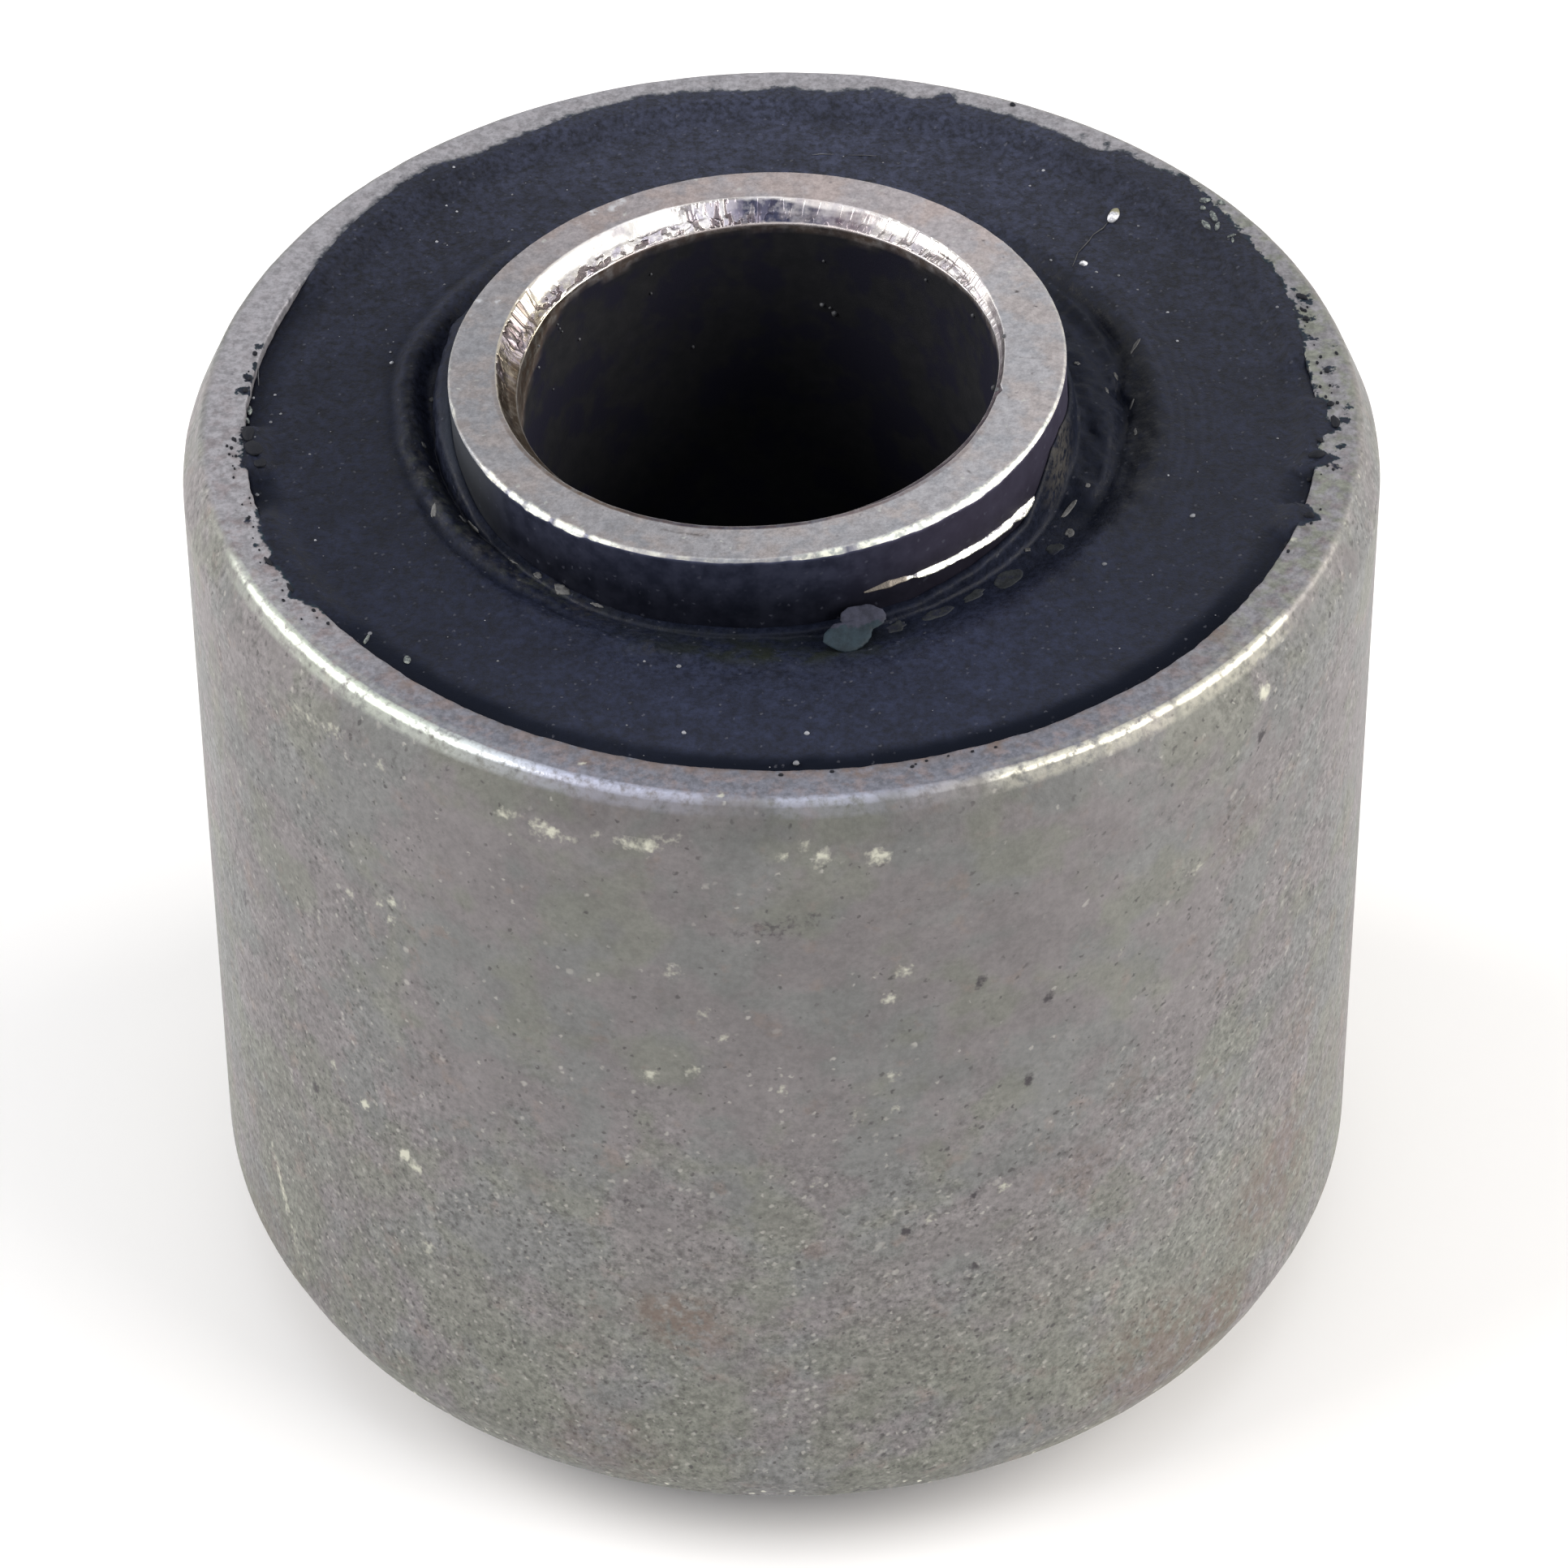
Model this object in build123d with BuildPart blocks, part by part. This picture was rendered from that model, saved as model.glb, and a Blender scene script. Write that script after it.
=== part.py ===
"""Rubber metal bush: a rubber ring moulded and bonded between a steel sleeve and a steel tube.

The housing presses on the outer sleeve, and the bolt clamps the inner tube by its two ends.
The rubber ring between them takes up the twist and the shock.

Everything is in millimetres and degrees. The origin is the centre of the bush, +Z runs along
the outer sleeve, and both ends are alike.
"""

import os

from build123d import *

os.makedirs("parts", exist_ok=True)

# Outer sleeve
sleeve_diameter = 40.0
sleeve_wall = 2.0
sleeve_length = 32.0
lead_in_depth = 0.7
lead_in_length = 1.6

# Inner tube
tube_bore = 16.0
tube_wall = 2.25
tube_projection = 2.25
tube_lean = 2.5
mouth_depth = 0.6
mouth_length = 0.7
tube_edge_break = 0.2

# Rubber ring
rubber_recess = 0.3
groove_width = 2.6
groove_depth = 0.7
groove_slope = 1.2
groove_blend = 0.3
collar_bare = 1.7
collar_foot = 0.35
collar_edge = 0.15

# Worked out from the sizes above
sleeve_outer_radius = sleeve_diameter / 2
sleeve_inner_radius = sleeve_outer_radius - sleeve_wall
sleeve_end = sleeve_length / 2
bore_radius = tube_bore / 2
tube_radius = bore_radius + tube_wall
tube_length = sleeve_length + 2 * tube_projection
tube_end = tube_length / 2
rubber_face = sleeve_end - rubber_recess
groove_floor = rubber_face - groove_depth
groove_rim_radius = tube_radius + groove_width
groove_floor_radius = groove_rim_radius - groove_slope
collar_top = tube_end - collar_bare

# The rubber cured with the tube askew: it leans about the bush's centre, its top towards -X.
tube_frame = Plane.XY.rotated((0, -tube_lean, 0))
tube_section = Plane(origin=tube_frame.origin, x_dir=tube_frame.x_dir, z_dir=-tube_frame.y_dir)
tube_axis = Axis(tube_frame.origin, tube_frame.z_dir)

# Outer sleeve: a length of steel tube with a long, shallow lead-in turned on each end,
# so that it starts easily when it is pressed into its housing.
with BuildPart() as outer_sleeve:
    with BuildSketch(Plane.XZ):
        with BuildLine():
            Polyline(
                (sleeve_outer_radius, 0),
                (sleeve_outer_radius, sleeve_end - lead_in_length),
                (sleeve_outer_radius - lead_in_depth, sleeve_end),
                (sleeve_inner_radius, sleeve_end),
                (sleeve_inner_radius, 0),
            )
            mirror(about=Plane.XZ)
        make_face()
    revolve(axis=Axis.Z)
outer_sleeve.part.label = "outer_sleeve"

# Inner tube: it stands out past the sleeve at both ends, with a countersunk mouth
# and a fine break on its outer edge.
with BuildPart() as inner_tube:
    with BuildSketch(tube_section):
        with BuildLine():
            Polyline(
                (tube_radius, 0),
                (tube_radius, tube_end - tube_edge_break),
                (tube_radius - tube_edge_break, tube_end),
                (bore_radius + mouth_depth, tube_end),
                (bore_radius, tube_end - mouth_length),
                (bore_radius, 0),
            )
            mirror(about=Plane.XZ)
        make_face()
    revolve(axis=tube_axis)
inner_tube.part.label = "inner_tube"

# Rubber ring: its flat end face lies just below the sleeve's end and dips into a groove round
# the tube. The mould centres the groove on the sleeve, and the leaning tube passes through it.
with BuildPart() as rubber_ring:
    with BuildSketch(Plane.XZ) as ring_section:
        with BuildLine():
            Polyline(
                (0, 0),
                (0, groove_floor),
                (groove_floor_radius, groove_floor),
                (groove_rim_radius, rubber_face),
                (sleeve_inner_radius, rubber_face),
                (sleeve_inner_radius, 0),
                close=True,
            )
        make_face()
        groove_corners = ring_section.vertices().group_by(Axis.X)[1:3]
        fillet(groove_corners[0] + groove_corners[1], radius=groove_blend)
        mirror(about=Plane.XZ)
    revolve(axis=Axis.Z)
    # A thin collar of rubber climbs the tube's wall and stops short of its end.
    with BuildSketch(tube_section):
        with BuildLine():
            Polyline(
                (0, 0),
                (0, collar_top),
                (tube_radius + collar_edge, collar_top),
                (tube_radius + collar_foot, groove_floor),
                (tube_radius + collar_foot, 0),
            )
            mirror(about=Plane.XZ)
        make_face()
    revolve(axis=tube_axis)
    # The tube's seat runs right through.
    with BuildSketch(tube_frame):
        Circle(tube_radius)
    extrude(amount=tube_length, both=True, mode=Mode.SUBTRACT)
rubber_ring.part.label = "rubber_ring"

export_step(outer_sleeve.part, "parts/outer_sleeve.step")
export_step(inner_tube.part, "parts/inner_tube.step")
export_step(rubber_ring.part, "parts/rubber_ring.step")
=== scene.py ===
"""A rubber metal bush: a steel sleeve, a leaning steel tube and rubber bonded between them."""
import math

import bpy
import numpy as np
from mathutils import Matrix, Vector
from mathutils.bvhtree import BVHTree


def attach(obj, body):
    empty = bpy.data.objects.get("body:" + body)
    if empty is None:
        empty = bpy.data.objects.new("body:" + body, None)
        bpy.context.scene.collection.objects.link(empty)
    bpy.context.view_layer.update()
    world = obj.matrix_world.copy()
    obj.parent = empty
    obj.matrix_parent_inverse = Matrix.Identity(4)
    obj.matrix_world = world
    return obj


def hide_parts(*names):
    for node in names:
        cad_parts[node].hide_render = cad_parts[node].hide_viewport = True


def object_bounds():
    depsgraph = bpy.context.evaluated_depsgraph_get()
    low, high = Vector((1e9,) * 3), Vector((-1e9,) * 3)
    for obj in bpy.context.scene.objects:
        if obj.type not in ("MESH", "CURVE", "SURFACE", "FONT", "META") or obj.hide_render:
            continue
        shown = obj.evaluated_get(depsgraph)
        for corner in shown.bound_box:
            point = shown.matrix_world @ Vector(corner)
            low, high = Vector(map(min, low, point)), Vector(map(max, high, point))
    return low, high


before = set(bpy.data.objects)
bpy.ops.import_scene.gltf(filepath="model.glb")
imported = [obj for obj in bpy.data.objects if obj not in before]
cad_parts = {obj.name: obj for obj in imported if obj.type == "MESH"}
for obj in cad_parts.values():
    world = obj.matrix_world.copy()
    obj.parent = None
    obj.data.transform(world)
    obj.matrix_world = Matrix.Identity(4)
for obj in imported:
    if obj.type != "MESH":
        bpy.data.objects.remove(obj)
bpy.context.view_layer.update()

# ---------------------------------------------------------------- sizes, in millimetres and degrees

MM = 0.001
STEPS = 720

SLEEVE_RADIUS = 20.0
SLEEVE_INNER_RADIUS = 18.0
SLEEVE_END = 16.0
CUT_RADIUS = 17.82
LEAD_IN_DEPTH = 0.7
LEAD_IN_LENGTH = 1.6

TUBE_RADIUS = 10.25
BORE_RADIUS = 8.0
TUBE_END = 18.25
TUBE_LEAN = 2.5
MOUTH_RADIUS = 8.5

RUBBER_FACE = 15.7
FACE_INSIDE = 16.6
GROOVE_OUTSIDE = 13.5

# Seeds of the random heights at the upper and the lower end, and the lower end's share of the
# edges' wear and painted highlight.
SLEEVE_SEEDS, TUBE_SEEDS, RUBBER_SEEDS = (100, 200), (300, 400), (500, 600)
LOW_END_WEAR_HIGHLIGHT = 0.3

# How many small crumbs and specks are tried at random.
SMALL_CRUMBS, SMALL_SPECKS = 70, 80

# ---------------------------------------------------------------- random heights


def noise(points, cell, seed):
    """Smooth random values from -1 to 1 at points, with features of the size of cell."""
    spot = np.asarray(points) / cell
    low = np.floor(spot).astype(np.int64)
    part = spot - low
    part = part * part * (3 - 2 * part)
    total = np.zeros(part.shape[:-1])
    for corner in np.ndindex(2, 2, 2):
        key = low + corner
        mixed = key[..., 0] * 73856093 ^ key[..., 1] * 19349663 ^ key[..., 2] * 83492791
        mixed = (mixed ^ seed * 2654435761) * 1274126177
        mixed = (mixed ^ mixed >> 15) * 2246822519
        value = (mixed >> 17 & 0xFFFF) / 32767.5 - 1
        weight = np.prod(np.where(corner, part, 1 - part), axis=-1)
        total += weight * value
    return total


def rough(points, cell, seed, octaves=3):
    """Noise with finer noise on top of it."""
    total = sum(noise(points, cell / 2**k, seed + k) / 2**k for k in range(octaves))
    return total / (2 - 2 ** (1 - octaves))


def smooth(low, high, value):
    """0 below low, 1 above high, and a soft step between them."""
    part = np.clip((value - low) / (high - low), 0, 1)
    return part * part * (3 - 2 * part)


def hump(degrees, centre, half_width):
    """1 at centre, falling softly to 0 at half_width degrees on either side."""
    away = np.abs((degrees - centre + 180) % 360 - 180)
    return 1 - smooth(0, half_width, away)


def outline(table, degrees, column=1):
    """A closed outline's value at each angle. Each row of its table is an angle and its values."""
    angles, values = zip(*((row[0], row[column]) for row in table))
    return np.interp(degrees, angles, values, period=360)


# ---------------------------------------------------------------- meshes

AROUND = np.arange(STEPS) * 2 * math.pi / STEPS
DEGREES = np.degrees(AROUND)


def loop(radius, height):
    """A loop of points round the sleeve's axis. Radius and height may hold one value a step."""
    return np.stack(
        [radius * np.cos(AROUND), radius * np.sin(AROUND), height + np.zeros(STEPS)], axis=1
    )


def lean(points):
    """Points of the tube's own upright frame, leant over with the tube."""
    c, s = math.cos(math.radians(TUBE_LEAN)), math.sin(math.radians(TUBE_LEAN))
    x, y, z = np.moveaxis(np.asarray(points, float), -1, 0)
    return np.stack([c * x - s * z, y, s * x + c * z], axis=-1)


def polar(degrees, radius, height):
    """A point, or points, from an angle, a radius and a height."""
    angle = np.radians(degrees)
    return np.stack(
        [radius * np.cos(angle), radius * np.sin(angle), height + 0 * angle], axis=-1
    )


def other_end(values):
    """Rings of points for the lower end, from rings for the upper end turned over about the y axis.
    Rings of single values only change their order."""
    turned = np.roll(values[::-1, ::-1], STEPS // 2 + 1, axis=1)
    if turned.ndim == 3:
        turned = turned * (-1, 1, -1)
    return turned


def ring_skin(name, rings, material, **attributes):
    """A closed skin over rings of points, the last ring joined to the first. Each attribute gives
    one value a point."""
    count = len(rings)
    ring, step = np.meshgrid(np.arange(count), np.arange(STEPS), indexing="ij")
    next_ring, next_step = (ring + 1) % count, (step + 1) % STEPS
    corners = [
        ring * STEPS + step,
        ring * STEPS + next_step,
        next_ring * STEPS + next_step,
        next_ring * STEPS + step,
    ]
    faces = np.stack(corners, axis=-1).reshape(-1, 4)
    mesh = bpy.data.meshes.new(name)
    mesh.from_pydata((rings.reshape(-1, 3) * MM).tolist(), [], faces.tolist())
    mesh.polygons.foreach_set("use_smooth", np.ones(len(faces), bool))
    for key, values in attributes.items():
        layer = mesh.attributes.new(key, "FLOAT", "POINT")
        layer.data.foreach_set("value", np.ravel(values).astype(np.float32))
    return new_piece(name, mesh, [material])


def add_object(name, data):
    """An object in the scene for a mesh, a lamp or a camera."""
    added = bpy.data.objects.new(name, data)
    bpy.context.scene.collection.objects.link(added)
    return added


def new_piece(name, mesh, materials):
    """An object for the mesh, riding with the bush."""
    for material in materials:
        mesh.materials.append(material)
    piece = add_object(name, mesh)
    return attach(piece, "root")


def join_parts(name, parts, material):
    """One piece from (points, faces) parts."""
    points, faces, start = [], [], 0
    for part_points, part_faces in parts:
        points += (np.asarray(part_points) * MM).tolist()
        faces += [tuple(start + i for i in face) for face in part_faces]
        start += len(part_points)
    mesh = bpy.data.meshes.new(name)
    mesh.from_pydata(points, [], faces)
    mesh.polygons.foreach_set("use_smooth", [True] * len(faces))
    new_piece(name, mesh, [material])


def closed_rings(rings):
    """A closed part over rings of points, with a cap point at each end."""
    count, around = len(rings), len(rings[0])
    points = list(np.concatenate(rings)) + [np.mean(rings[0], axis=0), np.mean(rings[-1], axis=0)]
    faces = []
    for i in range(around):
        j = (i + 1) % around
        faces.append((count * around, j, i))
        faces.append((count * around + 1, (count - 1) * around + i, (count - 1) * around + j))
        for k in range(count - 1):
            low, high = k * around, (k + 1) * around
            faces.append((low + i, low + j, high + j, high + i))
    return points, faces


def circle(around):
    """Points evenly round a flat circle of radius 1."""
    angle = np.arange(around) * 2 * math.pi / around
    return np.stack([np.cos(angle), np.sin(angle), 0 * angle], axis=1)


def lump(centre, size, seed, turn=0.0, around=12):
    """A rough rounded lump. size is its width along the turned x, its depth and its height."""
    rings = []
    spin = np.radians(turn)
    for up in np.linspace(-80, 80, around // 2):
        flat, high = math.cos(math.radians(up)), math.sin(math.radians(up))
        ring = circle(around) * (flat, flat, 1) + (0, 0, high)
        ring *= 1 + 0.35 * rough(ring + seed * 3.1, 0.9, seed, 2)[:, None]
        ring = ring * size / 2
        x = ring[:, 0] * math.cos(spin) - ring[:, 1] * math.sin(spin)
        y = ring[:, 0] * math.sin(spin) + ring[:, 1] * math.cos(spin)
        rings.append(np.stack([x, y, ring[:, 2]], axis=1) + centre)
    return closed_rings(rings)


def strand(path, width, seed, around=6):
    """A thin uneven thread along the path."""
    path = np.asarray(path, float)
    across, up, _ = circle(around).T[..., None]
    rings = []
    for i, spot in enumerate(path):
        along = path[min(i + 1, len(path) - 1)] - path[max(i - 1, 0)]
        side = np.cross(along, (0.1, 0.2, 1.0))
        side /= np.linalg.norm(side)
        over = np.cross(side, along / np.linalg.norm(along))
        thin = 0.4 if i in (0, len(path) - 1) else 1
        thick = width / 2 * (1 + 0.5 * noise(spot, 0.4, seed)) * thin
        rings.append(spot + thick * (across * side + up * over))
    return closed_rings(rings)


def skin_of(piece):
    """A function that moves points to the nearest spots on the piece and gives its slopes there."""
    places = [vertex.co[:] for vertex in piece.data.vertices]
    tree = BVHTree.FromPolygons(places, [face.vertices[:] for face in piece.data.polygons])

    def settle(points):
        found = [tree.find_nearest([float(value) * MM for value in point])[:2] for point in points]
        spots, slopes = (np.array([value[:] for value in column]) for column in zip(*found))
        return spots / MM, slopes

    return settle


# A thin plate's section: part of its half width, and height as a part of its lift.
PLATE_SECTION = (
    (0.3, 1.0), (0.6, 1.05), (0.82, 0.9), (0.94, 0.5), (1.0, -0.4), (0.9, -4.0), (0.4, -4.0),
)


def plate(settle, place, length, width, turn, lift, seed, around):
    """A thin ragged plate lying on a skin at (angle, radius, height). Its length runs round the
    axis before it is turned."""
    middle, slope = (found[0] for found in settle([polar(*place)]))
    along = np.cross((0, 0, 1), middle)
    along = along - slope * along.dot(slope)
    along /= np.linalg.norm(along)
    side = np.cross(slope, along)
    spin = math.radians(turn)
    c, s = math.cos(spin), math.sin(spin)
    along, side = along * c + side * s, side * c - along * s
    edge = circle(around)
    ragged = 0.22 if length > 1 else 0.5
    reach = 1 + ragged * rough(edge * 1.5 + seed, 0.7, seed)
    rings = []
    for part, high in PLATE_SECTION:
        flat = middle + (reach * part * length / 2 * edge[:, 0])[:, None] * along
        flat += (reach * part * width / 2 * edge[:, 1])[:, None] * side
        spots, slopes = settle(flat)
        rings.append(spots + lift * high * slopes)
    return closed_rings(rings[::-1])


# ---------------------------------------------------------------- material nodes


def add_node(tree, kind, inputs=(), **settings):
    """A node with its settings, and with a link or a constant for each of the inputs given."""
    node = tree.nodes.new(kind)
    for key, value in settings.items():
        setattr(node, key, value)
    for key, value in dict(inputs).items():
        if isinstance(value, bpy.types.NodeSocket):
            tree.links.new(value, node.inputs[key])
        else:
            node.inputs[key].default_value = value
    return node


class Surface:
    """A material with one principled shader, and short calls for the nodes that feed it."""

    def __init__(self, name, metallic=0.0, specular=0.5):
        self.material = bpy.data.materials.new(name)
        self.material.use_nodes = True
        self.tree = self.material.node_tree
        self.shader = self.tree.nodes["Principled BSDF"]
        self.shader.inputs["Metallic"].default_value = metallic
        self.shader.inputs["Specular IOR Level"].default_value = specular
        place = self.add("ShaderNodeTexCoord").outputs["Object"]
        self.place = self.vector("SCALE", place, scale=1 / MM)

    def add(self, kind, inputs=(), **settings):
        return add_node(self.tree, kind, inputs, **settings)

    def axes(self):
        """The x, y and z of the place, in millimetres."""
        return self.add("ShaderNodeSeparateXYZ", {0: self.place}).outputs

    def vector(self, operation, a, b=(0, 0, 0), scale=1.0):
        node = self.add("ShaderNodeVectorMath", {0: a, 1: b, 3: scale}, operation=operation)
        return node.outputs["Value" if operation in ("LENGTH", "DISTANCE") else "Vector"]

    def math(self, operation, a, b=0.5, clamp=False):
        node = self.add("ShaderNodeMath", {0: a, 1: b}, operation=operation, use_clamp=clamp)
        return node.outputs[0]

    def reach(self, place):
        """How far the place is from the z axis."""
        return self.vector("LENGTH", self.vector("MULTIPLY", place, (1, 1, 0)))

    def times(self, a, b, clamp=False):
        return self.math("MULTIPLY", a, b, clamp)

    def plus(self, a, b):
        return self.math("ADD", a, b)

    def minus(self, a, b):
        return self.math("SUBTRACT", a, b)

    def most(self, a, b):
        return self.math("MAXIMUM", a, b)

    def step(self, value, low, high, bottom=0.0, top=1.0):
        """Goes softly from bottom to top as the value goes from low to high."""
        inputs = {"Value": value, "From Min": low, "From Max": high}
        inputs.update({"To Min": bottom, "To Max": top})
        return self.add("ShaderNodeMapRange", inputs, interpolation_type="SMOOTHSTEP").outputs[0]

    def noise(self, size, detail=2.0, roughness=0.5, shift=0.0, stretch=(1, 1, 1)):
        """Noise with features of that size in millimetres, from 0 to 1."""
        place = self.vector("MULTIPLY_ADD", self.place, stretch)
        place.node.inputs[2].default_value = (shift, -shift, shift)
        inputs = {"Vector": place, "Scale": 1 / size, "Detail": detail, "Roughness": roughness}
        return self.add("ShaderNodeTexNoise", inputs).outputs["Fac"]

    def patch(self, size, low, high, shift=0.0):
        """Soft-edged patches of that size, where its noise passes from low to high."""
        return self.step(self.noise(size, 3, 0.6, shift), low, high)

    def vary(self, size, detail, roughness, shift, low, high):
        """Noise of that size, spread softly over the values from low to high."""
        return self.step(self.noise(size, detail, roughness, shift), 0.3, 0.7, low, high)

    def link(self, output, socket):
        self.tree.links.new(output, self.shader.inputs[socket])

    def around_mouth(self, squash):
        """Turns the place into one that follows the mouth: along it, then across, squashed."""
        x, y, z = self.axes()
        x = self.plus(x, TUBE_END * math.sin(math.radians(TUBE_LEAN)))
        turned = self.times(self.math("ARCTAN2", y, x), MOUTH_RADIUS)
        reach = self.reach(self.add("ShaderNodeCombineXYZ", {0: x, 1: y}).outputs[0])
        across = self.times(self.minus(reach, z), squash)
        self.place = self.add("ShaderNodeCombineXYZ", {0: turned, 1: across, 2: 0.0}).outputs[0]

    def dots(self, size, share, shift=0.0):
        """Ragged dots about that far apart, in that share of their places, of varied strength."""
        place = self.vector("ADD", self.place, (shift, shift, -shift))
        inputs = {"Vector": place, "Scale": 2.5 / size, "Detail": 0.0}
        bend = self.add("ShaderNodeTexNoise", inputs).outputs["Fac"]
        place = self.vector("ADD", place, self.vector("SCALE", bend, scale=0.5 * size))
        cells = self.add("ShaderNodeTexVoronoi", {"Vector": place, "Scale": 1 / size})
        dot = self.step(cells.outputs["Distance"], 0.12, 0.32, 1.0, 0.0)
        picks = self.add("ShaderNodeSeparateColor", {0: cells.outputs["Color"]}).outputs
        picked = self.math("LESS_THAN", picks[0], share)
        return self.times(dot, self.times(picked, self.step(picks[1], 0.0, 1.0, 0.25, 1.0)))

    def lines(self, size, width, shift=0.0):
        """Wandering thin lines, the edges between folds of that size."""
        away = self.math("ABSOLUTE", self.minus(self.noise(size, 2, 0.5, shift), 0.5))
        return self.step(away, 0.3 * width, width, 1.0, 0.0)

    def moulded(self):
        """The colour of the moulded rubber, with painted light: paler towards the back and darker
        to the left and right; and its grain.
        """
        x, y, _ = self.axes()
        back = self.step(y, -15.0, 17.0)
        colour = self.mix(back, rgb(0.0098, 0.0126, 0.0262), rgb(0.0180, 0.0208, 0.0365))
        colour = self.tint(colour, self.step(x, -15.0, -2.0, 0.62, 1.0))
        colour = self.tint(colour, self.step(x, 6.0, 15.0, 1.0, 0.62))
        colour = self.tint(colour, self.vary(2.2, 3, 0.55, 6, 0.88, 1.12))
        colour = self.tint(colour, self.vary(0.7, 2, 0.6, 16, 0.82, 1.18))
        grain = self.noise(0.22, 3, 0.65, shift=15)
        strength = self.step(y, -14.0, 12.0, 0.48, 0.72)
        rough_grain = self.times(self.step(grain, 0.25, 0.75, -1.0, 1.0), strength)
        colour = self.tint(colour, self.plus(rough_grain, 1.0))
        sheen = self.step(x, -15.0, -4.0, 0.12, 0.17)
        return colour, grain, sheen

    def value(self, attribute):
        """A value that the mesh holds at each point."""
        return self.add("ShaderNodeAttribute", attribute_name=attribute).outputs["Fac"]

    def mix(self, factor, a, b, blend="MIX"):
        """Colour a, going over to colour b as factor goes from 0 to 1."""
        inputs = {0: factor, 6: a, 7: b}
        return self.add("ShaderNodeMix", inputs, data_type="RGBA", blend_type=blend).outputs[2]

    def tint(self, colour, by):
        return self.mix(1.0, colour, by, blend="MULTIPLY")

    def coat(self, factor, colour, strength=None):
        """Lays a colour over the material's own where factor is 1, at that strength."""
        factor = factor if strength is None else self.times(factor, strength)
        self.colour = self.mix(factor, self.colour, colour)

    def shade(self, by):
        """Multiplies the material's own colour."""
        self.colour = self.tint(self.colour, by)

    def patchy(self, attribute, size, low, high, shift, clamp=False):
        """The mesh's value, broken up by patches."""
        return self.times(self.value(attribute), self.patch(size, low, high, shift), clamp)

    def blend(self, factor, a, b):
        """Like mix, for plain numbers."""
        return self.add("ShaderNodeMix", {0: factor, 2: a, 3: b}, data_type="FLOAT").outputs[0]

    def finish(self, roughness, height, depth):
        """Links the colour and roughness, and a bump of that depth in millimetres."""
        self.link(self.colour, "Base Color")
        if isinstance(roughness, float):
            self.shader.inputs["Roughness"].default_value = roughness
        else:
            self.link(roughness, "Roughness")
        bump = self.add("ShaderNodeBump", {"Height": height, "Distance": depth * MM})
        self.link(bump.outputs[0], "Normal")
        return self.material


def rgb(red, green, blue):
    return (red, green, blue, 1.0)


# ---------------------------------------------------------------- materials


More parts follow.
